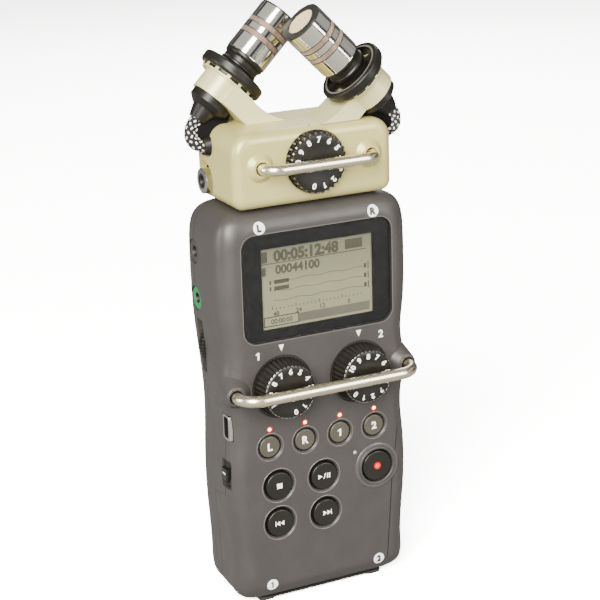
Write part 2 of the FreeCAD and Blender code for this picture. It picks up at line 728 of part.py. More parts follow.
volcanoes = []
for side_name, side in SIDES:
    across = f"{side}*$hoop_across"
    mount_at = (across, "0.9", "$hoop_height")
    volcanoes.append(cone(f"volcano_{side_name}", "5.6", "3.0", "2.4", mount_at, -Y))
capsule_cuts = [
    rod("dial_seat", "$dial_radius + 0.3", "2.9", ("0", "-2", "$dial_height")),
    rod("dial_hole", "4.6", "6", ("0", "-2", "$dial_height")),
    rod("line_in_hole", "4.25", "8", ("-31", "24", "140.6"), X),
    cone("line_in_dish", "7.3", "4.4", "3.2", ("-28.2", "24", "140.6"), X),
    block("plug_way", ("18", "5", "8"), ("0", "15.5", "$capsule_bottom")),
    rod("gland_hole_left", "2.9", "6", ("-30", "20.2", "152.6"), X),
    rod("gland_hole_right", "2.9", "6", ("24", "2*$mic_middle - 20.2", "152.6"), X),
]
for side_name, side in SIDES:
    end_at = (f"{side}*$hoop_across", "-4", "$hoop_height")
    button_at = (f"{side}*17", "29", "141.5")
    capsule_cuts.append(rod(f"hoop_gap_{side_name}", "$hoop_radius + 0.35", "5", end_at))
    capsule_cuts.append(rod(f"hoop_socket_{side_name}", "$hoop_radius", "9", end_at))
    capsule_cuts.append(block(f"release_hole_{side_name}", ("8.6", "8", "5.6"), button_at))
capsule_tools = fuse("capsule_openings", capsule_cuts)
capsule_front_bossed = fuse("capsule_front_bossed", [capsule_front_blank] + volcanoes)
capsule_front_shell = cut("capsule_front_shell", capsule_front_bossed, [capsule_tools])
capsule_rear_shell = cut("capsule_rear_shell", capsule_rear_blank, [capsule_tools])
capsule_guard_bar = hoop(
    "capsule_guard_bar",
    dim["hoop_across"],
    dim["hoop_height"],
    dim["hoop_radius"],
    dim["hoop_proud"],
    4.6,
    3.8,
)
capsule_knob = knob(
    "capsule_knob", "0", "$dial_height", "$dial_radius", "$dial_radius - 0.4", "$dial_proud", 6.4
)
capsule_potentiometer = potentiometer("capsule_potentiometer", "0", "$dial_height", 5.2, 3.6)
capsule_plug = fuse(
    "capsule_plug",
    [
        block("plug_tongue", ("17.6", "4.6", "8.2"), ("0", "15.5", "$capsule_bottom - 2.0")),
        block("plug_block", ("24", "9", "3.0"), ("0", "15.5", "$capsule_bottom + 3.5")),
    ],
)
line_in_jack = cut(
    "line_in_jack",
    fuse(
        "line_in_solid",
        [
            rod("line_in_barrel", "4.15", "4.4", ("-28.4", "24", "140.6"), X),
            block("line_in_case", ("10", "5.3", "6.4"), ("-19.3", "23.85", "140.6")),
        ],
    ),
    [rod("line_in_bore", "$mini_radius", "13", ("-29.4", "24", "140.6"), X)],
)
release_buttons = []
for side_name, side in SIDES:
    cap = block(f"release_cap_{side_name}", ("7.8", "3.2", "4.8"), (f"{side}*17", "29.2", "141.5"))
    flange = block(f"release_flange_{side_name}", ("9.6", "0.8", "6.2"), (f"{side}*17", "28.0", "141.5"))
    release_buttons.append(fuse(f"release_button_{side_name}", [cap, flange]))

# ---------------------------------------------------------------- microphones
# Each half is drawn once, for the right-hand microphone, which points up and to the left.
# The left one is the same piece turned half a turn about the capsule's vertical axis.

HALF = math.sqrt(0.5)
FRONTWARD = Vector(-HALF, 0, HALF)
BACKWARD = FRONTWARD.negative()
DOWNWARD = Vector(-HALF, 0, -HALF)
MIC_FRONT = at(-dim["mic_tip_across"], dim["mic_middle"] - dim["mic_offset"], dim["mic_tip_height"])
TURN_AXIS = at(0, dim["mic_middle"], 0)


def on_axis(distance):
    """Point on the right microphone's axis, behind its front."""
    return MIC_FRONT + BACKWARD * distance


def turned(shape):
    """The same shape for the left microphone."""
    copy = shape.copy()
    copy.rotate(TURN_AXIS, Z, 180)
    return copy


def disc(radius, start, end):
    return Part.makeCylinder(radius, end - start, on_axis(start), BACKWARD)


def tube(outside, inside, start, end):
    return disc(outside, start, end).cut(disc(inside, start - 1, end + 1))


def tapered(radius1, radius2, start, end):
    return Part.makeCone(radius1, radius2, end - start, on_axis(start), BACKWARD)


def edges_at(shape, distance, radius):
    """Circular edges of one radius that lie in the plane at a distance along the axis."""
    found = []
    for edge in shape.Edges:
        if is_arc_of(radius)(edge):
            along = (edge.Curve.Center - MIC_FRONT).dot(BACKWARD)
            if abs(along - distance) < 1e-4:
                found.append(edge)
    return found


BANDS = ((5.5, 7.4), (9.6, 11.5))
BAND_DEPTH = 0.7
NECK_END = 24.6

mic_tube = disc(dim["mic_radius"], 0, dim["mic_length"])
for start, end in BANDS:
    mic_tube = mic_tube.cut(tube(dim["mic_radius"] + 1, dim["mic_radius"] - BAND_DEPTH, start, end))
mic_body = mic_tube.fuse(disc(5.0, dim["mic_length"] - 0.5, NECK_END)).removeSplitter()

band_shapes = [tube(dim["mic_radius"] - 0.15, dim["mic_radius"] - BAND_DEPTH, s, e) for s, e in BANDS]
front_rim = tube(dim["mic_radius"] - 0.15, 4.75, -0.6, 0)
grille = disc(4.75, -0.35, 0)

ring_end = dim["ring_front"] + dim["ring_length"]
shock_ring = tube(dim["ring_radius"], dim["ring_hole"], dim["ring_front"], ring_end)
shock_ring = shock_ring.makeFillet(1.1, edges_at(shock_ring, ring_end, dim["ring_radius"]))
shock_ring = shock_ring.makeFillet(0.7, edges_at(shock_ring, dim["ring_front"], dim["ring_radius"]))

hub = tube(6.2, 5.0, 23.2, 25.0)
SPOKE_ANGLES = (30, 120, 210, 300)
spokes = []
for angle in SPOKE_ANGLES:
    spoke = Part.makeBox(3.2, 2.4, 1.4, Vector(5.9, -1.2, 0))
    spoke.Placement = Placement(on_axis(23.4), Rotation(Z, BACKWARD)).multiply(
        Placement(Vector(), Rotation(Z, angle))
    )
    spokes.append(spoke.common(disc(dim["ring_hole"], 20, 30)))
spider = hub.fuse(spokes)

barrel = disc(dim["barrel_radius"], dim["barrel_front"], dim["barrel_back"])
collar = tube(dim["ring_hole"] + 0.4, 5.6, ring_end, dim["barrel_front"] + 0.4)
ARM_FRONT_DEPTH = 1.8
ARM_BACK_DEPTH = 15.2


def arm_outline():
    """Leaning arm seen from the front, from the housing's top up to the holder."""
    top = dim["capsule_top"]
    outer_low = on_axis(dim["barrel_back"])
    offset = outer_low.x - outer_low.z
    foot_outer = Vector(top + offset, 0, top)
    high_outer = outer_low - DOWNWARD * 1.0
    high_inner = on_axis(dim["barrel_front"]) - DOWNWARD * 1.0
    knee = on_axis(dim["barrel_front"]) + DOWNWARD * 6.8
    foot_inner = Vector(3.2, 0, top)
    bend = Vector((knee.x + foot_inner.x) / 2 + 0.4, 0, (knee.z + foot_inner.z) / 2 - 0.9)
    points = [foot_inner, bend, knee, high_inner, high_outer, foot_outer]
    points = [Vector(p.x, at(0, ARM_FRONT_DEPTH, 0).y, p.z) for p in points]
    curve = Part.Arc(points[0], points[1], points[2]).toShape()
    rest = Part.makePolygon(points[2:] + points[:1])
    return Part.Wire([curve] + rest.Edges)


arm_block = Part.Face(arm_outline()).extrude(Y * (ARM_BACK_DEPTH - ARM_FRONT_DEPTH))
arm = arm_block.fuse([barrel, collar]).removeSplitter()
BOOT_SEAT = dim["barrel_back"]
boot = disc(6.9, BOOT_SEAT, 36.6).fuse([tapered(6.9, 4.6, 36.6, 38.4), tapered(4.3, 2.9, 38.4, 42.4)])


def cable_route():
    """Middle line of the right microphone's cable, from its boot to the gland in the side."""
    start = on_axis(41.0)
    side_depth = 2 * dim["mic_middle"]
    corners = [
        start,
        at(32.2, side_depth - 23.6, 158.7),
        at(31.8, side_depth - 21.5, 152.3),
        at(26.4, side_depth - 20.2, 152.6),
    ]
    edges = []
    previous = corners[0]
    for before, corner, after in zip(corners, corners[1:], corners[2:]):
        arrive = (before - corner).normalize()
        leave = (after - corner).normalize()
        reach = 0.45 * min((before - corner).Length, (after - corner).Length)
        half_turn = (math.pi - arrive.getAngle(leave)) / 2
        radius = reach / math.tan(half_turn)
        print(f"cable turn {math.degrees(2 * half_turn):.0f} degrees, radius {radius:.2f} mm")
        inward = (arrive + leave).normalize()
        middle = corner + inward * (radius / math.cos(half_turn) - radius)
        edges.append(Part.LineSegment(previous, corner + arrive * reach))
        edges.append(Part.Arc(corner + arrive * reach, middle, corner + leave * reach))
        previous = corner + leave * reach
    edges.append(Part.LineSegment(previous, corners[-1]))
    return Part.Wire([edge.toShape() for edge in edges])


route = cable_route()
run = route.Edges[0]
start = run.FirstParameter
cable_section = Part.Circle(run.valueAt(start), run.tangentAt(start), dim["cable_radius"])
cable = route.makePipeShell([Part.Wire([cable_section.toShape()])], True, True)
boot = boot.cut(cable)
gland_at = at(29.3, 2 * dim["mic_middle"] - 20.2, 152.6)
gland = Part.makeCone(2.75, 3.4, 1.8, gland_at, X.negative()).fuse(
    Part.makeCylinder(2.85, 2.6, gland_at - X * 1.7, X.negative())
)
gland = gland.cut(cable)


def pair(name, shapes):
    """One node for both microphones' copies of a piece."""
    return feature(name, Part.makeCompound(shapes + [turned(shape) for shape in shapes]))


mic_body_right = feature("mic_body_right", mic_body)
mic_body_left = feature("mic_body_left", turned(mic_body))
mic_arm_right = feature("mic_arm_right", arm)
mic_arm_left = feature("mic_arm_left", turned(arm))
mic_bands = pair("mic_bands", band_shapes)
mic_front_rims = pair("mic_front_rims", [front_rim])
mic_grilles = pair("mic_grilles", [grille])
shock_rings = pair("shock_rings", [shock_ring])
ring_spiders = pair("ring_spiders", [spider])
cable_boots = pair("cable_boots", [boot, gland])
mic_cables = pair("mic_cables", [cable])

# ---------------------------------------------------------------- check and write

NODES = [
    front_shell, rear_shell, battery_cover, display_window, lcd_bezel, lcd_panel, main_board, speaker,
    aa_batteries, battery_contacts, guard_bar, gain_potentiometers, track_lamps, line_out_jack, phones_jack,
    volume_wheel, usb_port, power_switch, remote_jack, menu_button, scroll_lever, card_door, card_slot,
    connector_plate, tripod_insert, case_screws, capsule_socket, capsule_front_shell, capsule_rear_shell,
    capsule_guard_bar, capsule_knob, capsule_potentiometer, capsule_plug, line_in_jack, mic_body_right,
    mic_body_left, mic_arm_right, mic_arm_left, mic_bands, mic_front_rims, mic_grilles, shock_rings,
    ring_spiders, cable_boots, mic_cables,
] + gain_knobs + transport_buttons + track_buttons + combo_jacks + release_buttons

doc.recompute()
failed = [obj.Label for obj in doc.Objects if "Invalid" in obj.State or "Error" in obj.State]
if failed:
    raise RuntimeError(f"did not build: {failed}")
os.makedirs("parts", exist_ok=True)
for node in NODES:
    shape = node.Shape
    if shape.isNull() or not shape.isValid() or not shape.Solids:
        raise RuntimeError(f"{node.Label} has no valid shape")
    shape.exportStep(f"parts/{node.Label}.step")
whole = Part.makeCompound([node.Shape for node in NODES])
bounds = whole.optimalBoundingBox(False)
print(f"{len(NODES)} nodes, x {bounds.XMin:.2f} to {bounds.XMax:.2f}")
print(f"y {bounds.YMin:.2f} to {bounds.YMax:.2f}, z {bounds.ZMin:.2f} to {bounds.ZMax:.2f}")
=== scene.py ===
import json
import math

import bmesh
import bpy
from mathutils import Matrix, Vector
from mathutils.bvhtree import BVHTree


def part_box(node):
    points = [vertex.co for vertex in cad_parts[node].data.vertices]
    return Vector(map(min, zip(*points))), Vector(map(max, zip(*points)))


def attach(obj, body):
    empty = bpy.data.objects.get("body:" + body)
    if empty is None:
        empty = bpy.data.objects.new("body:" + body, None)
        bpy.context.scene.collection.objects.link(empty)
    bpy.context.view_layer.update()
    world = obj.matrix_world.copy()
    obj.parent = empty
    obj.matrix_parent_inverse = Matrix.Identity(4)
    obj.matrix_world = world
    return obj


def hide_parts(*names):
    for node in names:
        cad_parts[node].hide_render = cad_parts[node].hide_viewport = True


# Looks of a handheld field recorder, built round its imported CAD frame. Lengths are in
# millimetres until they are placed, and the scene is in metres. "depth" is the distance
# behind the recorder's front face, "across" is to the user's right, "height" is up.

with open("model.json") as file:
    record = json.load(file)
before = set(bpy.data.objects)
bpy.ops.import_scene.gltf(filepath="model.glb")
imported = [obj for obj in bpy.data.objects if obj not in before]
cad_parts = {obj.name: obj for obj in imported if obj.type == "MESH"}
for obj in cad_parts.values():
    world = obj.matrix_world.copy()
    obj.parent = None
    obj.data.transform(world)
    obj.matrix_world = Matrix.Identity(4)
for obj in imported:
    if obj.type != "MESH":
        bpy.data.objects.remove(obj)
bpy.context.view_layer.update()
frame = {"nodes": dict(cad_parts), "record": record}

MM = 0.001
HALF = math.sqrt(0.5)
RIGHT, BACK, UP = Vector((1, 0, 0)), Vector((0, 1, 0)), Vector((0, 0, 1))
ROOT, CAPSULE = "recorder", "capsule"
WINDOW_DEPTH = 0.15                       # the window lies this far behind the front face
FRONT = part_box("display_window")[0].y - WINDOW_DEPTH * MM


def at(across, depth, height):
    """Point in the scene, from millimetres on the recorder."""
    return Vector((across * MM, FRONT + depth * MM, height * MM))


def polar(radius, angle, along=0.0):
    """Vector in metres round the z axis, from millimetres."""
    return Vector((radius * math.cos(angle), radius * math.sin(angle), along)) * MM


def middle(node):
    low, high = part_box(node)
    return (low + high) / 2


def facing(origin, out, right):
    """Matrix whose z axis is out and whose x axis is right, at a point in metres."""
    z = out.normalized()
    x = (right - z * right.dot(z)).normalized()
    y = z.cross(x)
    turn = Matrix((x, y, z)).transposed().to_4x4()
    return Matrix.Translation(origin) @ turn


def towards_user(across, depth, height):
    """Basis on the front: x to the right, y up, z towards the user."""
    return facing(at(across, depth, height), -BACK, RIGHT)


def towards_left(across, depth, height):
    """Basis on the left side: x to the front, y up, z out of the side."""
    return facing(at(across, depth, height), -RIGHT, -BACK)


def towards_right(across, depth, height):
    """Basis on the right side: x to the back, y up, z out of the side."""
    return facing(at(across, depth, height), RIGHT, BACK)


def towards_back(across, depth, height):
    """Basis on the back: x to the user's left, y up, z out of the back."""
    return facing(at(across, depth, height), BACK, -RIGHT)


def left_face(node, depth):
    """Basis on the left end of a node."""
    return towards_left(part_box(node)[0].x / MM, depth, middle(node).z / MM)


def right_face(node, depth):
    """Basis on the right end of a node."""
    return towards_right(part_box(node)[1].x / MM, depth, middle(node).z / MM)


def back_face(node, across, height, sunk=0.0):
    """Basis on the back of a node, or sunk mm below it."""
    return towards_back(across, (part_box(node)[1].y - FRONT) / MM - sunk, height)


# ---------------------------------------------------------------- materials

def link(tree, source, target):
    tree.links.new(source, target)


def set_sockets(node, **values):
    """Put values on the sockets of those names, with _ for a space."""
    for socket, value in values.items():
        node.inputs[socket.replace("_", " ")].default_value = value


def new_node(tree, kind, **values):
    node = tree.nodes.new("ShaderNode" + kind)
    set_sockets(node, **values)
    return node


def coordinates(tree, kind="Object"):
    return new_node(tree, "TexCoord").outputs[kind]


def noise(tree, where, scale, detail=3.0):
    node = new_node(tree, "TexNoise", Scale=scale, Detail=detail)
    link(tree, where, node.inputs["Vector"])
    return node.outputs["Fac"]


def remap(tree, value, low, high, from_low=0.3, from_high=0.7):
    node = new_node(tree, "MapRange", From_Min=from_low, From_Max=from_high, To_Min=low, To_Max=high)
    link(tree, value, node.inputs["Value"])
    return node.outputs["Result"]


def height_of(tree, where):
    """The z of some coordinates."""
    split = new_node(tree, "SeparateXYZ")
    link(tree, where, split.inputs["Vector"])
    return split.outputs["Z"]


def blend_colours(tree, factor, first, second):
    """Mix of two colours. Each is an (r, g, b) or an output."""
    node = new_node(tree, "Mix")
    node.data_type = "RGBA"
    link(tree, factor, node.inputs[0])
    for socket, colour in ((node.inputs[6], first), (node.inputs[7], second)):
        if isinstance(colour, tuple):
            socket.default_value = (*colour, 1.0)
        else:
            link(tree, colour, socket)
    return node.outputs[2]


def bump(tree, shader, height, strength, distance):
    node = new_node(tree, "Bump", Strength=strength, Distance=distance * MM)
    link(tree, height, node.inputs["Height"])
    link(tree, node.outputs["Normal"], shader.inputs["Normal"])


def shader_of(material):
    return material.node_tree.nodes["Principled BSDF"]


def shade(colour, share):
    return tuple(channel * share for channel in colour)


def surface(name, colour, roughness, metallic=0.0, variation=0.08, patch=120.0, grain=4000.0,
            grain_depth=0.02, grain_strength=0.35, stretch=(1, 1, 1), **sockets):
    """Material with slow colour variation, uneven roughness and a fine grain.

    patch and grain are the noise scales per metre, and stretch draws the grain out."""
    made = bpy.data.materials.new(name)
    made.use_nodes = True
    tree, shader = made.node_tree, shader_of(made)
    where = coordinates(tree)
    mapping = new_node(tree, "Mapping", Scale=stretch)
    link(tree, where, mapping.inputs["Vector"])
    slow = remap(tree, noise(tree, where, patch), 0.0, 1.0)
    fine = noise(tree, mapping.outputs["Vector"], grain, 2.0)
    colours = blend_colours(tree, slow, shade(colour, 1 - variation), shade(colour, 1 + variation))
    darkest = shade(colour, 1 - 2 * variation)
    speckled = blend_colours(tree, remap(tree, fine, 0.0, 0.5), colours, darkest)
    link(tree, speckled, shader.inputs["Base Color"])
    spread = 0.14 * roughness
    uneven = remap(tree, slow, roughness - spread, roughness + spread, 0.0, 1.0)
    link(tree, uneven, shader.inputs["Roughness"])
    set_sockets(shader, Metallic=metallic, **sockets)
    bump(tree, shader, fine, grain_strength, grain_depth)
    return made


def glowing(name, colour, strength):
    """Lit plastic."""
    return surface(name, colour, 0.3, grain_depth=0.005,
                   Emission_Color=(*colour, 1.0), Emission_Strength=strength)


def clear_cover(name):
    """Clear smoked plastic with a hard gloss."""
    made = surface(name, (0.006, 0.006, 0.006), 0.04, variation=0.02, grain_depth=0.0001,
                   grain_strength=0.01, Alpha=0.16)
    made.surface_render_method = "BLENDED"
    return made


def woven(name, thread, gap, pitch):
    """Fine metal mesh: crossing threads with dark holes between them. pitch is in mm."""
    made = surface(name, thread, 0.45, metallic=0.55, grain_depth=0.01)
    tree, shader = made.node_tree, shader_of(made)
    cells = new_node(tree, "TexVoronoi", Scale=1 / (pitch * MM), Randomness=0.25)
    cells.feature = "DISTANCE_TO_EDGE"
    link(tree, coordinates(tree), cells.inputs["Vector"])
    wire = remap(tree, cells.outputs["Distance"], 1.0, 0.0, 0.1, 0.28)
    link(tree, blend_colours(tree, wire, gap, thread), shader.inputs["Base Color"])
    bump(tree, shader, wire, 0.6, 0.08)
    return made


def display_glass(name, colour, reflected_dark, low, high):
    """Liquid crystal panel that darkens from the height low to high, in mm: a painted dark reflection in
    the window.
    """
    made = surface(name, colour, 0.5, variation=0.02, grain_depth=0.002)
    tree, shader = made.node_tree, shader_of(made)
    reflection_fade = remap(tree, height_of(tree, coordinates(tree)), 0.0, 1.0, low * MM, high * MM)
    speckled = shader.inputs["Base Color"].links[0].from_socket
    link(tree, blend_colours(tree, reflection_fade, speckled, reflected_dark), shader.inputs["Base Color"])
    return made


def brushed(name, colour, roughness, stretch=(1, 1, 1), variation=0.1):
    """Bare metal, with a grain drawn out by stretch."""
    return surface(name, colour, roughness, metallic=1.0, variation=variation, patch=150.0,
                   grain=2200.0, grain_depth=0.003, grain_strength=0.12, stretch=stretch)


GRAPHITE = (0.040, 0.036, 0.034)
CHAMPAGNE = (0.480, 0.430, 0.160)

materials = {}


def look(maker, name, *settings, **more):
    """Make the material of one of the record's slots."""
    materials[name] = maker(name, *settings, **more)


look(surface, "shell_graphite", GRAPHITE, 0.42, variation=0.05, grain=5200.0, grain_depth=0.02,
     grain_strength=0.3, Specular_IOR_Level=0.45)
look(surface, "capsule_champagne", CHAMPAGNE, 0.36, metallic=0.25, variation=0.035, grain=7000.0,
     grain_depth=0.008)
look(surface, "arm_grey", (0.610, 0.570, 0.300), 0.36, metallic=0.25, variation=0.04, grain=7000.0,
     grain_depth=0.008)
look(clear_cover, "window_clear")
look(surface, "bezel_black", (0.003, 0.003, 0.003), 0.4, variation=0.1, grain_strength=0.02)
# The panel's upper part is painted darker: a painted dark reflection in the window.
look(display_glass, "lcd_grey", (0.33, 0.325, 0.205), (0.15, 0.15, 0.10), 108, 126)
look(surface, "board_green", (0.02, 0.11, 0.05), 0.35, grain=1500.0)
look(surface, "speaker_black", (0.02, 0.02, 0.02), 0.7)
look(brushed, "cell_silver", (0.5, 0.5, 0.5), 0.35, (1, 1, 0.1))
look(brushed, "contact_nickel", (0.55, 0.53, 0.5), 0.3)
look(surface, "bar_nickel", (0.80, 0.72, 0.53), 0.26, metallic=1.0, variation=0.03, patch=150.0,
     grain=1500.0, grain_depth=0.001, grain_strength=0.05)
look(surface, "part_black", (0.02, 0.02, 0.02), 0.5)
look(glowing, "lamp_red", (0.60, 0.006, 0.002), 0.35)
look(surface, "jack_black", (0.03, 0.028, 0.026), 0.4)
look(surface, "jack_green", (0.005, 0.17, 0.045), 0.3)
look(brushed, "jack_silver", (0.70, 0.68, 0.62), 0.18, variation=0.04)
look(surface, "socket_black", (0.02, 0.02, 0.02), 0.45, grain=3000.0)
look(surface, "knob_black", (0.008, 0.007, 0.005), 0.36, variation=0.12, grain=6000.0,
     Specular_IOR_Level=0.35)
look(surface, "key_black", (0.009, 0.008, 0.006), 0.34, variation=0.1, grain=6000.0,
     Specular_IOR_Level=0.4)
look(surface, "track_grey", (0.055, 0.050, 0.038), 0.36, variation=0.08, grain=6000.0)
look(surface, "mic_chrome", (0.78, 0.745, 0.66), 0.1, metallic=1.0, variation=0.03, grain=2500.0,
     grain_depth=0.002, grain_strength=0.1)
look(woven, "band_mesh", (0.36, 0.265, 0.205), (0.10, 0.068, 0.05), 0.33)
look(surface, "rim_black", (0.018, 0.018, 0.017), 0.3)
look(woven, "grille_gold", (0.42, 0.34, 0.18), (0.06, 0.045, 0.025), 0.42)
look(surface, "ring_rubber", (0.008, 0.007, 0.005), 0.34, variation=0.15, patch=400.0,
     Specular_IOR_Level=0.3)
look(surface, "cable_braid", (0.007, 0.006, 0.006), 0.55, grain=9000.0, grain_depth=0.03,
     grain_strength=0.8)
# Finishes that aren't record slots of their own: inks, then trims, among them lighter copies that paint
# highlights and near-blacks that paint shade.
plate_grey = surface("plate_grey", shade(GRAPHITE, 0.8), 0.45, grain=5200.0)
white_ink = surface("white_ink", (0.95, 0.95, 0.93), 0.5, variation=0.03, grain_depth=0.004)
dark_ink = surface("dark_ink", (0.03, 0.03, 0.028), 0.5, variation=0.05, grain_depth=0.004)
red_ink = glowing("red_ink", (0.55, 0.008, 0.004), 0.2)
pale_red = glowing("pale_red", (0.80, 0.07, 0.045), 0.8)
lamp_core = glowing("lamp_core", (1.0, 0.62, 0.22), 12.0)
lcd_ink = surface("lcd_ink", (0.075, 0.074, 0.050), 0.5, variation=0.05, grain_depth=0.002)
lcd_halftone = surface("lcd_halftone", (0.150, 0.148, 0.110), 0.5, variation=0.05, grain_depth=0.002)
# Light metallic finish for the knobs' rib ends, lighter than the black knob: painted highlights.
highlight_facet = surface("highlight_facet", (0.24, 0.23, 0.20), 0.3, metallic=0.85, variation=0.05)
# Lighter, glossier copy of the shell for the beads round openings: painted highlights.
satin_rim = surface("satin_rim", shade(GRAPHITE, 2.6), 0.22, variation=0.05, Specular_IOR_Level=0.8)
# Lighter copy of the shell for the record key's raised ring: painted highlight.
highlight_graphite = surface("highlight_graphite", shade(GRAPHITE, 1.5), 0.3, variation=0.05)
# Light grey of the small dome on the front: a painted highlight.
pip_highlight_grey = surface("pip_highlight_grey", (0.42, 0.41, 0.39), 0.25)
# Near black for bores, recesses and the recorder's inside: painted shade.
painted_shade_black = surface("painted_shade_black", (0.004, 0.004, 0.004), 0.5, variation=0.2)
usb_metal = brushed("usb_metal", (0.62, 0.60, 0.55), 0.3, variation=0.04)
cloth = surface("cloth", (0.05, 0.05, 0.048), 0.7)
turned_line = surface("turned_line", (0.05, 0.042, 0.034), 0.3, metallic=0.6)
wire_gold = brushed("wire_gold", (0.52, 0.42, 0.25), 0.35)
grey_lip = surface("grey_lip", (0.13, 0.12, 0.10), 0.3)
# Near-black, dull finish of the sheet inside each cable's loop: painted shadow.
shade_web_black = surface("shade_web_black", (0.003, 0.003, 0.003), 0.8, variation=0.2, Specular_IOR_Level=0.1)
fleck = surface("fleck", (0.80, 0.76, 0.74), 0.6, grain=9000.0, grain_depth=0.03,
                grain_strength=0.8)

slot_of = {row["node"]: row["material_slot"] for row in frame["record"]["subparts"]}
for node, obj in frame["nodes"].items():
    obj.data.materials.clear()
    obj.data.materials.append(plate_grey if node == "connector_plate" else materials[slot_of[node]])


# ---------------------------------------------------------------- making pieces

def in_scene(name, data):
    obj = bpy.data.objects.new(name, data)
    bpy.context.scene.collection.objects.link(obj)
    return obj


def shown(name, mesh, body, slot, material=None, smooth=35):
    """Put a mesh in the scene, riding on a body. smooth is the sharpest smooth edge, in degrees."""
    mesh.materials.clear()
    mesh.materials.append(material or materials[slot])
    obj = in_scene(name, mesh)
    for polygon in mesh.polygons:
        polygon.use_smooth = True
    limit = math.radians(smooth)
    hard = bmesh.new()
    hard.from_mesh(mesh)
    for edge in hard.edges:
        edge.smooth = len(edge.link_faces) == 2 and edge.calc_face_angle(0) < limit
    hard.to_mesh(mesh)
    hard.free()
    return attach(obj, body)


def to_mesh(name, bm):
    """Mesh with its faces turned outwards. The bmesh is freed."""
    bmesh.ops.recalc_face_normals(bm, faces=bm.faces)
    mesh = bpy.data.meshes.new(name)
    bm.to_mesh(mesh)
    bm.free()
    return mesh


def piece(name, draw, body, slot, material=None, smooth=35):
    """One shown piece, drawn by draw(bm)."""
    bm = bmesh.new()
    draw(bm)
    return shown(name, to_mesh(name, bm), body, slot, material, smooth)


def ring_row(bm, basis, radius, along, segments, wave):
    """One ring of vertices round the basis' z axis. A radius of 0 gives the middle point."""
    if radius == 0:
        return [bm.verts.new(basis @ polar(0, 0, along))]
    row = []
    for step in range(segments):
        angle = math.tau * step / segments
        row.append(bm.verts.new(basis @ polar(radius - wave(angle), angle, along)))
    return row


def bridge(bm, low, high):
    """Faces between two closed rows. Either may be a single point."""
    count = max(len(low), len(high))
    for step in range(count):
        after = (step + 1) % count
        below = low[step % len(low)], low[after % len(low)]
        above = high[after % len(high)], high[step % len(high)]
        bm.faces.new(dict.fromkeys(below + above))


def bridge_run(bm, rows, loop=False):
    """Faces along a run of closed rows, and with loop from the last back to the first."""
    for low, high in zip(rows, rows[1:]):
        bridge(bm, low, high)
    if loop:
        bridge(bm, rows[-1], rows[0])


def skin(bm, rings, capped=False, loop=False):
    """Skin over a run of closed rings of points, in metres."""
    rows = [[bm.verts.new(point) for point in ring] for ring in rings]
    bridge_run(bm, rows, loop)
    if capped:
        bm.faces.new(rows[0])
        bm.faces.new(rows[-1])


def lathe(bm, rings, basis, segments=72, loop=False, wave=None):
    """Turned form. rings are (radius, along z) or (radius, along z, share of the wave)."""
    rows = []
    for radius, along, *share in rings:
        depth = share[0] if share else 0
        cut = (lambda angle: depth * wave(angle)) if depth else (lambda angle: 0)
        rows.append(ring_row(bm, basis, radius, along, segments, cut))
    bridge_run(bm, rows, loop)


def turned_piece(name, rings, basis, segments, body, slot, material=None, loop=True):
    """Piece that is one turned form."""
    return piece(name, lambda bm: lathe(bm, rings, basis, segments, loop=loop), body, slot, material)


def slab(bm, basis, size, middle_at=(0, 0, 0), soften=0.0):
    """Box with softened edges. Sizes in mm, along the basis' axes."""
    made = bmesh.ops.create_cube(bm, size=1.0)["verts"]
    for vert in made:
        local = Vector([c * s + m for c, s, m in zip(vert.co, size, middle_at)])
        vert.co = basis @ (local * MM)
    if soften:
        edges = {edge for vert in made for edge in vert.link_edges}
        bmesh.ops.bevel(bm, geom=list(edges), offset=soften * MM, segments=2, affect="EDGES", profile=0.7)


def outline(basis, points, level):
    """(x, y) points at a height over the basis' plane, as points in metres."""
    return [basis @ (Vector((x, y, level)) * MM) for x, y in points]


def outline_plate(bm, basis, points, low, high):
    """Plate with the outline of (x, y) points, between two heights over the basis' plane."""
    skin(bm, [outline(basis, points, low), outline(basis, points, high)], capped=True)


def evaluated(curve):
    """Mesh of a curve or text."""
    obj = in_scene(curve.name, curve)
    bpy.context.view_layer.update()
    depsgraph = bpy.context.evaluated_depsgraph_get()
    mesh = bpy.data.meshes.new_from_object(obj.evaluated_get(depsgraph))
    bpy.data.objects.remove(obj)
    return mesh


def lettering(text, size, basis, raised=0.03, boldness=0.035):
    """Mesh of numerals or letters, their middle on the basis' origin."""
    curve = bpy.data.curves.new("lettering", "FONT")
    curve.body = text
    curve.size = size * MM
    curve.align_x = "CENTER"
    curve.align_y = "CENTER"
    curve.offset = boldness * size * MM
    curve.extrude = raised / 2 * MM
    mesh = evaluated(curve)
    corners = [vert.co.copy() for vert in mesh.vertices]
    low, high = (Vector([end(axis) for axis in zip(*corners)]) for end in (min, max))
    mesh.transform(basis @ Matrix.Translation(-(low + high) / 2))
    return mesh


def numeral_one(size, basis):
    """Numeral 1 with a flag, to match the heavy letters."""
    stem = [(-0.06, -0.36), (0.12, -0.36), (0.12, 0.36)]
    flag = [(-0.02, 0.36), (-0.22, 0.24), (-0.22, 0.1), (-0.06, 0.18)]
    bm = bmesh.new()
    outline_plate(bm, basis, [(x * size, y * size) for x, y in stem + flag], 0, 0.03)
    return to_mesh("numeral", bm)


def glyph(label, size, basis, boldness):
    """Mesh of one label, with the flagged 1 in place of the font's."""
    if label == "1":
        return numeral_one(size, basis)
    return lettering(label, size, basis, boldness=boldness)


def joined(name, meshes):
    """One mesh from several, which are removed."""
    bm = bmesh.new()
    for mesh in meshes:
        bm.from_mesh(mesh)
        bpy.data.meshes.remove(mesh)
    bmesh.ops.remove_doubles(bm, verts=bm.verts, dist=1e-7)
    return to_mesh(name, bm)


PRESS_GRID = 0.35                         # longest edge of a mark that follows a curved shell


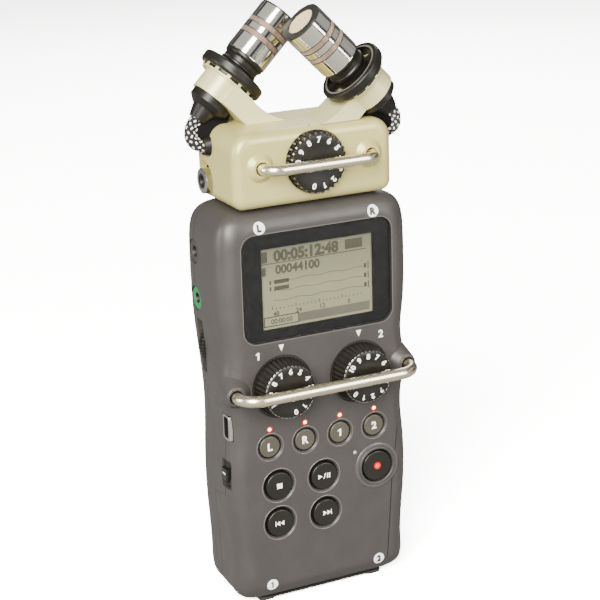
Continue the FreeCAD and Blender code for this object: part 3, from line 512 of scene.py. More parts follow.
def press_on(mesh, node, lift):
    """Lay a flat mesh that faces the user on the surface of a CAD node, lift mm above it."""
    source = frame["nodes"][node].data
    tree = BVHTree.FromPolygons([v.co for v in source.vertices], [p.vertices for p in source.polygons])
    bm = bmesh.new()
    bm.from_mesh(mesh)
    bmesh.ops.triangulate(bm, faces=bm.faces)
    for _ in range(4):
        long_edges = [edge for edge in bm.edges if edge.calc_length() > PRESS_GRID * MM]
        if not long_edges:
            break
        bmesh.ops.subdivide_edges(bm, edges=long_edges, cuts=1)
        bmesh.ops.triangulate(bm, faces=bm.faces)
    base = min(vert.co.y for vert in bm.verts)
    for vert in bm.verts:
        start = Vector((vert.co.x, FRONT - 0.02, vert.co.z))
        hit = tree.ray_cast(start, BACK)[0] or tree.find_nearest(start + 0.02 * BACK)[0]
        vert.co.y += hit.y - base - lift * MM
    bm.to_mesh(mesh)
    bm.free()
    return mesh


# ---------------------------------------------------------------- knobs

DIGIT_STEP = math.radians(28)


def dial_marks(top, centre, face_proud, circle, size):
    """Numbers 0 to 10 round a knob, tops outwards, growing anticlockwise, with top uppermost."""
    marks = []
    for number in range(11):
        angle = (number - top) * DIGIT_STEP
        spot = polar(circle, angle + math.pi / 2, face_proud)
        basis = centre @ Matrix.Translation(spot) @ Matrix.Rotation(angle, 4, "Z")
        marks.append(glyph(str(number), size, basis, 0.05))
    return marks


def ribbed(count, deep):
    """Wave for lathe(): how far a rib's flank falls back at an angle."""
    return lambda angle: deep * (0.5 - 0.5 * math.cos(count * angle)) ** 0.7


def level_knob(node, across, profile, ribs, top, dial, facets):
    """Knob with ribs up its side, raised numbers on its face, and facets round its edge in a light metallic
    finish that paints the ribs' highlights.

    ribs is how many and how deep. dial is the height, circle and size of the numbers. facets
    is their radius, height, tilt in degrees, share of a rib's turn, size and softness."""
    centre = towards_user(across, 0, middle(node).z / MM)
    count, deep = ribs
    radius, height, tilt, shift, size, soften = facets

    def draw_facets(bm):
        for rib in range(count):
            turn = centre @ Matrix.Rotation(math.tau * (rib + shift) / count, 4, "Z")
            lean = Matrix.Rotation(math.radians(tilt), 4, "Y")
            slab(bm, turn @ Matrix.Translation(polar(radius, 0, height)) @ lean, size, soften=soften)

    body = piece(f"{node}_body", lambda bm: lathe(bm, profile, centre, 432, wave=ribbed(count, deep)),
                 node, "knob_black", smooth=40)
    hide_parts(node)
    numbers = joined("numbers", dial_marks(top, centre, *dial))
    shown(f"{node}_numbers", numbers, node, "knob_black", white_ink)
    # The facets' light metallic finish paints the highlights on the rib ends.
    piece(f"{node}_facets", draw_facets, node, "knob_black", highlight_facet)


GAIN_ACROSS = abs(middle("gain_knob_2").x) / MM
GAIN_PROFILE = [
    (0, -5.4), (2.95, -5.4), (2.95, -0.5), (9.7, -0.5), (10.0, -0.2, 0.2), (9.98, 0.4, 1),
    (9.55, 2.6, 1), (9.15, 4.6, 1), (9.0, 5.3, 0.9), (8.86, 5.75, 0.35), (8.7, 6.1), (8.45, 6.4),
    (8.1, 6.5), (6.2, 6.48), (4.8, 6.3), (2.4, 6.12), (0, 6.08),
]
CAPSULE_PROFILE = [
    (0, -6.4), (2.95, -6.4), (2.95, -0.5), (9.4, -0.5), (9.98, -0.3), (9.98, 0.3, 1), (9.95, 1.6, 1),
    (9.8, 2.3, 1), (9.5, 2.75, 0.8), (9.1, 2.95, 0.35), (8.7, 3.0), (7.0, 2.97), (5.0, 2.8),
    (2.5, 2.66), (0, 2.62),
]
for number, side, top in ((1, -1, 6), (2, 1, 8)):
    level_knob(f"gain_knob_{number}", side * GAIN_ACROSS, GAIN_PROFILE, (40, 0.34), top, (6.5, 7.0, 2.4),
               (8.66, 6.2, 48, 0.5, (0.42, 0.82, 0.12), 0.05))
level_knob("capsule_knob", 0, CAPSULE_PROFILE, (30, 0.75), 7, (3.0, 7.45, 2.5),
           (9.5, 2.72, 45, 0, (0.5, 0.6, 0.14), 0.06))


# ---------------------------------------------------------------- marks on the keys

def key_face(node):
    """Basis on the middle of a key's cap."""
    centre = middle(node)
    return facing(Vector((centre.x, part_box(node)[0].y, centre.z)), -BACK, RIGHT)


def ink(name, shapes, node, material=white_ink):
    """Printed sign on a key, from flat outlines of (x, y) points."""
    def draw(bm):
        for points in shapes:
            outline_plate(bm, key_face(node), points, 0, 0.03)

    return piece(name, draw, node, "key_black", material)


def arc_points(radius, start, end, steps, centre=(0, 0)):
    angles = [math.radians(start + (end - start) * step / steps) for step in range(steps + 1)]
    return [(centre[0] + radius * math.cos(a), centre[1] + radius * math.sin(a)) for a in angles]


def disc_points(radius):
    return arc_points(radius, 0, 360, 48)[:-1]


def triangle(left, width, half_height):
    """Triangle that points to the right, or with a negative width to the left."""
    return [(left, -half_height), (left + width, 0), (left, half_height)]


def bar(left, width, half_height):
    """Upright bar, from its left edge."""
    right = left + width
    return [(left, -half_height), (right, -half_height), (right, half_height), (left, half_height)]


SLASH = [(-0.45, -0.95), (-0.15, -0.95), (0.45, 0.95), (0.15, 0.95)]
KEY_SIGNS = {
    "stop": [bar(-0.95, 1.9, 0.9)],
    "play": [triangle(-2.3, 1.5, 0.85), SLASH, bar(0.85, 0.42, 0.85), bar(1.6, 0.42, 0.85)],
    "rewind": [triangle(-0.35, -1.35, 0.85), triangle(1.15, -1.35, 0.85), bar(-2.0, 0.3, 0.85)],
    "forward": [triangle(0.35, 1.35, 0.85), triangle(-1.15, 1.35, 0.85), bar(1.7, 0.3, 0.85)],
}
for key, shapes in KEY_SIGNS.items():
    ink(f"{key}_mark", shapes, f"{key}_button")
ink("record_mark", [disc_points(0.72)], "record_button", pale_red)
RECORD_RIM = [(0.7, 0), (1.25, 0), (1.25, 0.05), (0.7, 0.05)]
turned_piece("record_mark_rim", RECORD_RIM, key_face("record_button"), 48,
             "record_button", "key_black", red_ink)

TRACK_KEYS = {"left": "L", "right": "R", "one": "1", "two": "2"}
for name, label in TRACK_KEYS.items():
    node = f"track_button_{name}"
    letter = joined("letter", [glyph(label, 3.45, key_face(node), 0.045)])
    shown(f"{node}_letter", letter, node, "track_grey", white_ink)


# ---------------------------------------------------------------- marks on the shells

def printed(name, meshes, material=white_ink, lift=0.035):
    """Marks laid on the curved front of the recorder."""
    mesh = press_on(joined("marks", meshes), "front_shell", lift)
    return shown(name, mesh, ROOT, "shell_graphite", material)


def turned(rings, basis, segments):
    """Mesh of a turned form."""
    bm = bmesh.new()
    lathe(bm, rings, basis, segments)
    return to_mesh("turned", bm)


def front_marks(side, input_label, capsule_label):
    """White discs with a letter, and the number and pointer over a level knob."""
    aside = 20.0 * side
    for spot, label, height in (("input", input_label, 7.2), ("channel", capsule_label, 129.2)):
        basis = towards_user(aside, -1, height)
        disc = turned([(0, 0), (1.98, 0), (1.98, 0.02), (0, 0.02)], basis, 48)
        printed(f"{spot}_disc_{label}", [disc])
        printed(f"{spot}_letter_{label}", [glyph(label, 2.9, basis, 0.075)], dark_ink, 0.075)
    knob_x, knob_z = side * GAIN_ACROSS, middle("gain_knob_2").z / MM
    pointer = bmesh.new()
    pointer_at = towards_user(knob_x, -1, knob_z + 13.1)
    outline_plate(pointer, pointer_at, [(-0.95, 1.1), (0, -1.1), (0.95, 1.1)], 0, 0.02)
    number = glyph(input_label, 3.5, towards_user(knob_x + side * 8.2, -1, knob_z + 11.6), 0.03)
    printed(f"gain_marks_{input_label}", [to_mesh("pointer", pointer), number])


front_marks(-1, "1", "L")
front_marks(1, "2", "R")


LAMP_RADIUS = 1.0


def lamp_cores(bm):
    """Bright middles of the four track lamps, just under their red caps' faces."""
    low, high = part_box("track_lamps")
    reach = (high.x - low.x) / 2 - LAMP_RADIUS * MM
    for index in range(4):
        spot = Vector((reach * (2 * index / 3 - 1), low.y, (low.z + high.z) / 2))
        lathe(bm, [(0.55, 0.0), (0.48, 0.05), (0.3, 0.1), (0, 0.12)], facing(spot, -BACK, RIGHT), 24)


piece("track_lamp_cores", lamp_cores, ROOT, "lamp_red", lamp_core)


def half_round(inside, outside, rise, sunk, steps):
    """Rings of a bead between two radii, standing rise high on a surface."""
    reach = (outside - inside) / 2
    angles = [math.pi * step / steps for step in range(steps + 1)]
    return [(inside + reach - reach * math.cos(a), rise * math.sin(a) - sunk) for a in angles]


def seat_bead(node, inside, outside, rise):
    """Soft bead on the front, round the opening of a key, in a light grey that paints the highlight on the
    opening's edge.
    """
    centre = middle(node)
    rings = half_round(inside, outside, rise, -0.005, 8)
    bead = turned(rings, towards_user(centre.x / MM, -1, centre.z / MM), 96)
    printed(f"{node}_bead", [bead], satin_rim, rise)


for key in KEY_SIGNS:
    seat_bead(f"{key}_button", 5.75, 6.1, 0.1)
for name in TRACK_KEYS:
    seat_bead(f"track_button_{name}", 4.6, 4.88, 0.08)
RECORD_FACE = towards_user(middle("record_button").x / MM, 0, middle("record_button").z / MM)
# The record key's raised ring, lighter than the shell: a painted highlight.
turned_piece("record_bead", half_round(6.45, 8.15, 0.5, 0.04, 16), RECORD_FACE, 144,
             ROOT, "shell_graphite", highlight_graphite, loop=False)
# Small dome on the front whose light grey is a painted highlight.
pip = turned([(0.62, 0), (0.5, 0.16), (0.28, 0.26), (0, 0.3)], towards_user(11.7, -1, 47.8), 24)
printed("front_pip", [pip], pip_highlight_grey, 0.3)


# ---------------------------------------------------------------- sides and back

def rounded_outline(width, height, radius, steps=8):
    """Points round a rectangle with rounded corners, centred on the origin."""
    points = []
    for corner, (sx, sy) in enumerate(((1, 1), (-1, 1), (-1, -1), (1, -1))):
        centre = (sx * (width / 2 - radius), sy * (height / 2 - radius))
        points.extend(arc_points(radius, 90 * corner, 90 * corner + 90, steps, centre))
    return points


def frame_plate(bm, basis, outside, inside, low, high):
    """Flat frame between two outlines with the same number of points."""
    rims = ((outside, low), (outside, high), (inside, high), (inside, low))
    skin(bm, [outline(basis, points, level) for points, level in rims], loop=True)


def jack_trim(node, bore, rim, basis, body=ROOT):
    """Rolled rim round a round jack, and a near-black sleeve in its bore that paints the shade inside it.
    """
    slot = slot_of[node]
    rolled = [(bore + 0.3, 0), (bore + 0.42, 0.12), (rim - 0.5, 0.14), (rim - 0.15, 0.06), (rim - 0.1, 0)]
    shade_sleeve = [(bore - 0.02, -0.05), (bore - 0.02, -7), (bore - 0.22, -7), (bore - 0.22, -0.4)]
    turned_piece(f"{node}_rim", rolled, basis, 64, body, slot)
    turned_piece(f"{node}_sleeve", shade_sleeve, basis, 48, body, slot, painted_shade_black)


JACKS_DEPTH = 22
BORE = 1.8                                # radius of a stereo jack's hole
for node in ("line_out_jack", "phones_jack"):
    jack_trim(node, BORE, 3.9, left_face(node, JACKS_DEPTH))
jack_trim("remote_jack", 1.3, 3.2, right_face("remote_jack", JACKS_DEPTH))
line_in_face = towards_left(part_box("line_in_jack")[0].x / MM, 24, 140.6)
jack_trim("line_in_jack", BORE, 4.15, line_in_face, CAPSULE)
# Near-black ring on the line-in jack's face round its bore: painted shade of the opening.
LINE_IN_INSET = [(1.9, 0.02), (1.9, 0.17), (2.4, 0.19), (2.6, 0.02)]
turned_piece("line_in_inset", LINE_IN_INSET, line_in_face, 64, CAPSULE, "jack_silver", painted_shade_black)


WINDOW_CORNER = 4.4


def window_rim():
    """Edge of the opening round the window, in a light grey that paints the highlight on it."""
    low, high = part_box("display_window")
    wide, tall = (high.x - low.x) / MM, (high.z - low.z) / MM
    outside = rounded_outline(wide + 0.85, tall + 0.85, WINDOW_CORNER + 0.42)
    inside = rounded_outline(wide + 0.35, tall + 0.35, WINDOW_CORNER + 0.17)
    bm = bmesh.new()
    frame_plate(bm, towards_user(0, -1, middle("display_window").z / MM), outside, inside, 0, 0.06)
    printed("window_rim", [to_mesh("rim", bm)], satin_rim, 0.05)


window_rim()


def usb_trim():
    """Metal frame of the small USB socket, and its liner and tongue in near-black that paints the shade
    inside it.
    """
    low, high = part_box("usb_port")
    face = left_face("usb_port", 5.3)
    wide, tall = (high.y - low.y) / MM, (high.z - low.z) / MM

    def inset(gap, radius):
        return rounded_outline(wide - gap, tall - gap, radius)

    piece("usb_frame", lambda bm: frame_plate(bm, face, inset(-0.2, 1.1), inset(1.1, 0.7), 0.0, 0.22),
          ROOT, "jack_silver", usb_metal)
    piece("usb_liner", lambda bm: frame_plate(bm, face, inset(1.12, 0.4), inset(1.4, 0.3), -6.5, 0.1),
          ROOT, "jack_silver", painted_shade_black)
    piece("usb_tongue", lambda bm: slab(bm, face, (1.1, 5.2, 5.6), (0, 0, -3.4), soften=0.15),
          ROOT, "jack_silver", painted_shade_black)


usb_trim()


def switch_trim():
    """Near-black floor round the power switch, painted shade of its recess, and the white tick on its knob.
    """
    depth = 6.2
    floor = towards_left(-31.5, depth, middle("power_switch").z / MM)
    knob = left_face("power_switch", depth)
    recess, opening = rounded_outline(5.9, 9.6, 2.6), rounded_outline(2.42, 6.9, 0.5)
    piece("switch_recess", lambda bm: frame_plate(bm, floor, recess, opening, 0.0, 0.12),
          ROOT, "part_black", painted_shade_black)
    piece("switch_tick", lambda bm: slab(bm, knob, (1.9, 0.5, 0.06), (0, 0.3, 0), soften=0.02),
          "power_switch", "key_black", white_ink)


switch_trim()


def volume_thumbwheel():
    """Wheel with a ribbed edge that stands out of the left side."""
    low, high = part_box("volume_wheel")
    edge = (high.z - low.z) / 2 / MM
    hub, ribs = 2.7, 44
    half = [(1.5, hub), (1.5, 1.7), (edge - 1.2, 1.7), (edge - 0.3, 1.55), (edge, 1.3, 0.6), (edge, 1.1, 1)]
    profile = [(0, -hub)]
    profile += [(radius, -along, *share) for radius, along, *share in half]
    profile += half[::-1] + [(0, hub)]
    centre = facing((low + high) / 2, BACK, RIGHT)
    wave = ribbed(ribs, 0.55)
    wheel = piece("volume_wheel_ribbed", lambda bm: lathe(bm, profile, centre, ribs * 8, wave=wave),
                  "volume_wheel", "knob_black", smooth=40)
    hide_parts("volume_wheel")


volume_thumbwheel()


def ridges(bm, basis, count, pitch, size):
    """Row of soft finger ridges along the basis' y axis."""
    for index in range(count):
        slab(bm, basis, size, (0, (index - (count - 1) / 2) * pitch, size[2] / 2), soften=0.12)


lever_face = right_face("scroll_lever", 17)
piece("scroll_lever_ridges", lambda bm: ridges(bm, lever_face, 4, 1.15, (2.6, 0.45, 0.28)),
      "scroll_lever", "key_black")
for side in ("left", "right"):
    node = f"release_button_{side}"
    face = back_face(node, middle(node).x / MM, middle(node).z / MM)
    piece(f"{node}_ridges", lambda bm: ridges(bm, face, 3, 1.5, (6.6, 0.6, 0.2)), node, "key_black")
cover_face = back_face("battery_cover", 0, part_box("battery_cover")[1].z / MM - 7.5, sunk=0.02)
piece("battery_cover_ridges", lambda bm: ridges(bm, cover_face, 5, 1.5, (14.0, 0.7, 0.3)),
      "battery_cover", "shell_graphite")


def speaker_cloth(bm):
    """Woven cloth just behind the holes over the speaker."""
    basis = towards_back(0, 28.35, middle("speaker").z / MM)
    pitch, wire, reach, length = 0.5, 0.11, 16, 4
    for line in range(-reach, reach + 1):
        for step in range(-reach, reach, length):
            run, offset = (step + length / 2) * pitch, line * pitch
            slab(bm, basis, (length * pitch, wire, wire), (run, offset, 0))
            slab(bm, basis, (wire, length * pitch, wire), (offset, run, 0.08))


piece("speaker_cloth", speaker_cloth, ROOT, "speaker_black", cloth)


COMBO_LIP = [(7.7, 0), (7.95, 0.12), (8.7, 0.15), (8.85, 0)]
for node in ("combo_jack_1", "combo_jack_2"):
    centre = middle(node)
    face = facing(Vector((centre.x, centre.y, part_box(node)[0].z)), -UP, RIGHT)
    turned_piece(f"{node}_lip", COMBO_LIP, face, 96, ROOT, "socket_black")
    piece(f"{node}_latch", lambda bm: slab(bm, face, (3.6, 1.7, 0.16), (0, -8.0, 0.04), soften=0.06),
          ROOT, "socket_black", materials["contact_nickel"])


def tripod_thread(bm):
    """Ridges of a quarter inch thread, 20 to the inch."""
    pitch, start, turns = 1.27, -0.3, 4
    rings = []
    for step in range(2 * turns + 1):
        rings.append((3.17 if step % 2 else 2.95, start - step * pitch / 2))
    rings += [(3.3, rings[-1][1]), (3.3, start)]
    lathe(bm, rings, back_face("tripod_insert", 0, 98.0), 64, loop=True)


piece("tripod_thread", tripod_thread, ROOT, "jack_silver")


def light_baffle(bm):
    """Inner wall that keeps light from running from one side's openings to the other's."""
    basis = towards_right(25.2, 19, 111)
    slab(bm, basis, (14.0, 38.6, 0.5), (0, -0.7, 0), soften=0.1)
    slab(bm, basis, (14.0, 11.0, 0.5), (0, -33.0, 0), soften=0.1)
    for offset in (-15, -5, 5, 15):
        slab(bm, basis, (12.0, 0.8, 1.0), (0, offset, -0.5), soften=0.1)


# The wall's near-black paints the shade inside the recorder.
piece("side_baffle", light_baffle, ROOT, "shell_graphite", painted_shade_black)


# ---------------------------------------------------------------- display

LCD_LOW, LCD_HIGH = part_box("lcd_panel")
LCD_MIDDLE = middle("lcd_panel")
LCD_BORDER = 1.5                          # the panel's edge that the bezel hides
LCD_HALF_WIDTH = (LCD_HIGH.x - LCD_LOW.x) / 2 / MM - LCD_BORDER
LCD_HALF_HEIGHT = (LCD_HIGH.z - LCD_LOW.z) / 2 / MM - LCD_BORDER
on_lcd = facing(Vector((LCD_MIDDLE.x, LCD_LOW.y, LCD_MIDDLE.z)), -BACK, RIGHT)


def lcd_box(left, low, width, height):
    """Outline of a bar from its lower left corner, measured from the display's own corner."""
    x, y = left - LCD_HALF_WIDTH, low - LCD_HALF_HEIGHT
    return [(x, y), (x + width, y), (x + width, y + height), (x, y + height)]


def lcd_text(text, across, up, size, boldness):
    spot = Vector((across - LCD_HALF_WIDTH, up - LCD_HALF_HEIGHT, 0)) * MM
    return lettering(text, size, on_lcd @ Matrix.Translation(spot), raised=0.02, boldness=boldness)


def display_picture():
    """Plain recorder screen: two counter lines, level traces over a scale, and a status box."""
    width, height = 2 * LCD_HALF_WIDTH, 2 * LCD_HALF_HEIGHT
    boxes = [lcd_box(0.5, height - 4.7, 2.0, 3.6), lcd_box(0.5, height - 8.9, 1.4, 2.7)]
    boxes.append(lcd_box(0.76 * width, height - 4.4, 0.16 * width, 3.2))
    boxes.append(lcd_box(0.3, height - 5.3, 0.94 * width, 0.3))
    for row in range(2):
        low = height - 12.0 - 2.1 * row
        boxes.append(lcd_box(3.0, low, 0.6, 1.3))
        boxes.append(lcd_box(4.6, low, 5.2, 1.3))
    for row in range(3):
        low = height - 11.2 - 3.2 * row
        for step in range(40):
            boxes.append(lcd_box(4.2 + 0.8 * step, low + 0.22 * math.sin(step * 0.55 + row), 0.55, 0.22))
        boxes.append(lcd_box(0.93 * width, low - 0.4, 0.9, 1.5))
        boxes.append(lcd_box(0.965 * width, low - 0.9, 0.35, 2.5))
    for step in range(24):
        tall = 1.2 if step % 6 == 0 else 0.6
        boxes.append(lcd_box(3.6 + 1.38 * step, 6.2, 0.25, tall))
    left, low, wide, tall, line = 0.6, 0.7, 12.4, 3.0, 0.35
    boxes.extend([lcd_box(left, low, wide, line), lcd_box(left, low + tall, wide, line)])
    boxes.extend([lcd_box(left, low, line, tall), lcd_box(left + wide - line, low, line, tall)])
    bm = bmesh.new()
    for points in boxes:
        outline_plate(bm, on_lcd, points, 0, 0.02)
    meshes = [to_mesh("boxes", bm)]
    meshes.append(lcd_text("00:05:12:48", 0.41 * width, height - 2.9, 4.9, 0.05))
    meshes.append(lcd_text("00044100", 0.33 * width, height - 7.4, 3.9, 0.035))
    for label, across in (("48", 5.0), ("24", 13.0), ("12", 21.5), ("0", 31.0)):
        meshes.append(lcd_text(label, across, 4.8, 2.1, 0.02))
    meshes.append(lcd_text("00:00:00", 6.9, 2.35, 2.2, 0.02))
    picture = joined("picture", meshes)
    shown("lcd_picture", picture, ROOT, "lcd_grey", lcd_ink)
    strip = lcd_box(left + wide, low + 0.1, width - wide - 1.5, tall - 0.1)
    piece("lcd_strip", lambda bm: outline_plate(bm, on_lcd, strip, 0, 0.02),
          ROOT, "lcd_grey", lcd_halftone)


display_picture()


# ---------------------------------------------------------------- microphones
# Pieces are made for the right-hand microphone, and turned half a turn about the capsule's
# vertical axis for the left-hand one.

MIC_MIDDLE_DEPTH = 14.85
MIC_AXIS_OFFSET = 9.0
MIC_FRONT = at(-0.55, MIC_MIDDLE_DEPTH - MIC_AXIS_OFFSET, 190.4)
MIC_OUT = Vector((-HALF, 0, HALF))
MIC_BASIS = facing(MIC_FRONT, -MIC_OUT, BACK)   # z runs back from the mic's front
HALF_TURN = (
    Matrix.Translation(at(0, MIC_MIDDLE_DEPTH, 0))
    @ Matrix.Rotation(math.pi, 4, "Z")
    @ Matrix.Translation(-at(0, MIC_MIDDLE_DEPTH, 0))
)
MIC_SIDES = (("right", Matrix.Identity(4)), ("left", HALF_TURN))


def for_both(name, make, slot, material=None):
    """One piece per microphone. make(bm, basis) draws it on a basis whose z runs back."""
    for side, turn in MIC_SIDES:
        piece(f"{name}_{side}", lambda bm: make(bm, turn @ MIC_BASIS), CAPSULE, slot, material)


WIRE = ((-1, 0), (0, 1), (1, 0), (0, -1))     # corners of a thread's section: aside, out


def thread_section(basis, radius, lift, angle, along, wide, thick):
    """Section of a thread that runs round the basis' z axis."""
    corners = [(radius + lift + thick * out, angle + wide * aside / radius) for aside, out in WIRE]
    return [basis @ polar(out, turn, along) for out, turn in corners]


def diamond_lattice(bm, basis, radius, start, end, around, rows, wire):
    """Crossing wires round a cylinder."""
    steps = rows * 2
    for hand in (-1, 1):
        for strand in range(around):
            rings = []
            for step in range(steps + 1):
                along = start + (end - start) * step / steps
                angle = math.tau * (strand + hand * rows * step / steps) / around
                weave = 0.02 if (step + (hand > 0)) % 2 else -0.02
                rings.append(thread_section(basis, radius, weave, angle, along, wire, wire))
            skin(bm, rings)


MIC_RADIUS = 7.1
BANDS = ((5.5, 7.4), (9.6, 11.5))


def band_wires(bm, basis):
    for start, end in BANDS:
        diamond_lattice(bm, basis, MIC_RADIUS - 0.13, start + 0.2, end - 0.2, 72, 3, 0.07)


def band_edges(bm, basis):
    """Dark turned line at both edges of each band."""
    inner, outer = MIC_RADIUS - 0.1, MIC_RADIUS + 0.015
    for line in BANDS[0] + BANDS[1]:
        rings = [(inner, line - 0.14), (outer, line - 0.12), (outer, line + 0.12), (inner, line + 0.14)]
        lathe(bm, rings, basis, 96, loop=True)


def grille_wires(bm, basis):
    """Front grille, of wires woven in two directions."""
    pitch, wire, reach = 0.62, 0.1, 4.6
    count = int(reach / pitch)
    for direction in (0, 1):
        for line in range(-count, count + 1):
            half = math.sqrt(reach ** 2 - (line * pitch) ** 2)
            steps = max(2, int(half * 4 / pitch))
            rings = []
            for step in range(steps + 1):
                run = -half + 2 * half * step / steps
                height = -0.42 - 0.05 * math.cos(math.pi * (run / pitch + line + direction))
                section = [(run, line * pitch + wire * aside, height + wire * out) for aside, out in WIRE]
                if direction:
                    section = [(y, x, z) for x, y, z in section]
                rings.append([basis @ (Vector(point) * MM) for point in section])
            skin(bm, rings)


for_both("mic_band_wires", band_wires, "band_mesh")
for_both("mic_band_edges", band_edges, "mic_chrome", turned_line)
for_both("mic_grille_wires", grille_wires, "grille_gold", wire_gold)

# Turned pieces as (radius, distance behind the microphone's front): the light lip inside the
# shock ring, the dark rubber round the neck, and the polished ring between neck and body.
RING_LIP = [(8.9, 22.75), (9.5, 22.62), (9.75, 22.75), (9.6, 22.9), (8.9, 22.95)]
NECK_SLEEVE = [
    (5.02, 17.42), (6.5, 17.42), (6.85, 17.6), (6.9, 18.3), (6.6, 18.9), (6.25, 19.2), (6.2, 20.6),
    (6.5, 21.0), (6.5, 21.5), (6.1, 21.8), (5.7, 23.1), (5.02, 23.1),
]
BACK_RING = [(6.55, 17.38), (7.0, 17.44), (7.02, 17.56), (6.6, 17.6)]
for_both("shock_ring_lip", lambda bm, basis: lathe(bm, RING_LIP, basis, 96), "ring_rubber", grey_lip)
for_both("mic_neck_sleeve", lambda bm, basis: lathe(bm, NECK_SLEEVE, basis, 96, loop=True),
         "ring_rubber")

WINDOWS = 13
COLLAR_RADIUS, COLLAR_START, COLLAR_END = 9.3, 26.25, 27.15


def collar_windows(bm, basis):
    """Dark slots between the ribs of the holder's collar."""
    inner, outer = COLLAR_RADIUS + 0.02, COLLAR_RADIUS + 0.08
    rings = [(inner, COLLAR_START), (outer, COLLAR_START), (outer, COLLAR_END), (inner, COLLAR_END)]
    lathe(bm, rings, basis, 144, loop=True)


def collar_ribs(bm, basis):
    size = (0.3, 1.1, COLLAR_END - COLLAR_START)
    for rib in range(WINDOWS):
        turn = basis @ Matrix.Rotation(math.tau * rib / WINDOWS, 4, "Z")
        slab(bm, turn, size, (COLLAR_RADIUS + 0.12, 0, (COLLAR_START + COLLAR_END) / 2), soften=0.08)


for_both("collar_windows", collar_windows, "ring_rubber")
for_both("collar_ribs", collar_ribs, "arm_grey")
for_both("mic_back_ring", lambda bm, basis: lathe(bm, BACK_RING, basis, 96, loop=True), "mic_chrome")

CAPSULE_PIN = [(0.42, -0.15), (0.42, 0.02), (0.25, 0.05), (0, 0.05)]
pin_at = facing(at(-0.5, 2.8, 159.0), UP, RIGHT)
turned_piece("capsule_pin", CAPSULE_PIN, pin_at, 24, CAPSULE, "capsule_champagne", dark_ink, loop=False)


# ---------------------------------------------------------------- microphone cables

# The cable's middle line: corners as (across, depth, height), from the boot to the gland.
BOOT_END = MIC_FRONT - MIC_OUT * 41.0 * MM
CABLE_CORNERS = [
    BOOT_END,
    at(32.2, 2 * MIC_MIDDLE_DEPTH - 23.6, 158.7),
    at(31.8, 2 * MIC_MIDDLE_DEPTH - 21.5, 152.3),
    at(26.4, 2 * MIC_MIDDLE_DEPTH - 20.2, 152.6),
]
CABLE_RADIUS = 2.15
FLECKS_AROUND, FLECK_PITCH = 7, 1.15
# The near-black sheet inside the cable's loop, a painted shadow, runs from under the boot into the capsule.
SHADE_WEB_TOP = at(18.5, MIC_MIDDLE_DEPTH - MIC_AXIS_OFFSET, 162.0)
SHADE_WEB_FOOT = at(24.5, 2 * MIC_MIDDLE_DEPTH - 20.2, 153.0)


def smooth_line(corners):
    """Points along a NURBS spline with these control points."""
    curve = bpy.data.curves.new("route", "CURVE")
    curve.dimensions = "3D"
    curve.resolution_u = 32
    spline = curve.splines.new("NURBS")
    spline.points.add(len(corners) - 1)
    for point, corner in zip(spline.points, corners):
        point.co = (*corner, 1)
    spline.order_u = 3
    spline.use_endpoint_u = True
    return [vert.co.copy() for vert in evaluated(curve).vertices]


def frames_along(points):
    """Matrices along a line, each with z along it and turned as little as possible."""
    made = []
    right = BACK
    for index, point in enumerate(points):
        ahead = points[min(index + 1, len(points) - 1)] - points[max(index - 1, 0)]
        frame_here = facing(point, ahead, right)
        right = frame_here.to_3x3() @ RIGHT
        made.append(frame_here)
    return made


def spaced(line, pitch):
    """The matrices of a line that are about pitch mm apart, without its ends."""
    kept = [line[0]]
    for here in line:
        if (here.translation - kept[-1].translation).length >= pitch * MM:
            kept.append(here)
    return kept[1:-1]


def strands(bm, line, radius, hand):
    """Flat threads wound round a line one way, over and under those wound the other way."""
    count, turns, wide, thick = 16, 2.2, 0.3, 0.12
    for strand in range(count):
        rings = []
        for index, here in enumerate(line):
            wound = hand * turns * index / (len(line) - 1)
            over = thick * (0.5 + 0.5 * math.cos(math.pi * (count * wound * 2 / 3 + strand)))
            angle = math.tau * (strand / count + wound)
            rings.append(thread_section(here, radius, over, angle, 0, wide, thick))
        skin(bm, rings)


def braided(bm, line):
    """Dark core with threads wound both ways."""
    circle = [polar(CABLE_RADIUS - 0.32, math.tau * step / 32) for step in range(32)]
    core = [[here @ point for point in circle] for here in line]
    skin(bm, core, capped=True)
    for hand in (-1, 1):
        strands(bm, line, CABLE_RADIUS - 0.28, hand)


def flecks(bm, line):
    """Light threads that show in the braid, in staggered rows."""
    for row, here in enumerate(spaced(line, FLECK_PITCH)):
        slant = Matrix.Rotation(math.radians(30 * (-1) ** row), 4, "X")
        for column in range(FLECKS_AROUND):
            angle = math.tau * (column + 0.5 * (row % 2)) / FLECKS_AROUND
            spot = here @ Matrix.Translation(polar(CABLE_RADIUS - 0.14, angle))
            slab(bm, spot @ Matrix.Rotation(angle, 4, "Z") @ slant, (0.22, 0.36, 0.72), soften=0.1)


def cable_web(bm, line, turn):
    """Near-black sheet that fills the inside of the cable's loop, between the boot and the capsule: painted
    shadow.
    """
    rings = []
    for index, here in enumerate(line):
        outer, inner = here.translation, turn @ SHADE_WEB_TOP.lerp(SHADE_WEB_FOOT, index / (len(line) - 1))
        corners = ((outer, -1.3), (outer, 1.3), (inner, 2.4), (inner, -2.4))
        rings.append([point + half * MM * BACK for point, half in corners])
    skin(bm, rings, capped=True)


cable_line = frames_along(smooth_line(CABLE_CORNERS))
cables = [(side, turn, [turn @ here for here in cable_line]) for side, turn in MIC_SIDES]
for side, turn, line in cables:
    cable = piece(f"mic_cable_{side}", lambda bm: braided(bm, line), CAPSULE, "cable_braid", smooth=60)
    if side == "right":
        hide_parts("mic_cables")
    piece(f"mic_cable_flecks_{side}", lambda bm: flecks(bm, line), CAPSULE, "cable_braid", fleck,
          smooth=60)
# Painted shadow: near-black sheets inside the cables' loops.
for side, turn, line in cables:
    piece(f"cable_web_{side}", lambda bm: cable_web(bm, line, turn), CAPSULE, "ring_rubber", shade_web_black,
          smooth=60)


# ---------------------------------------------------------------- stage, camera and light

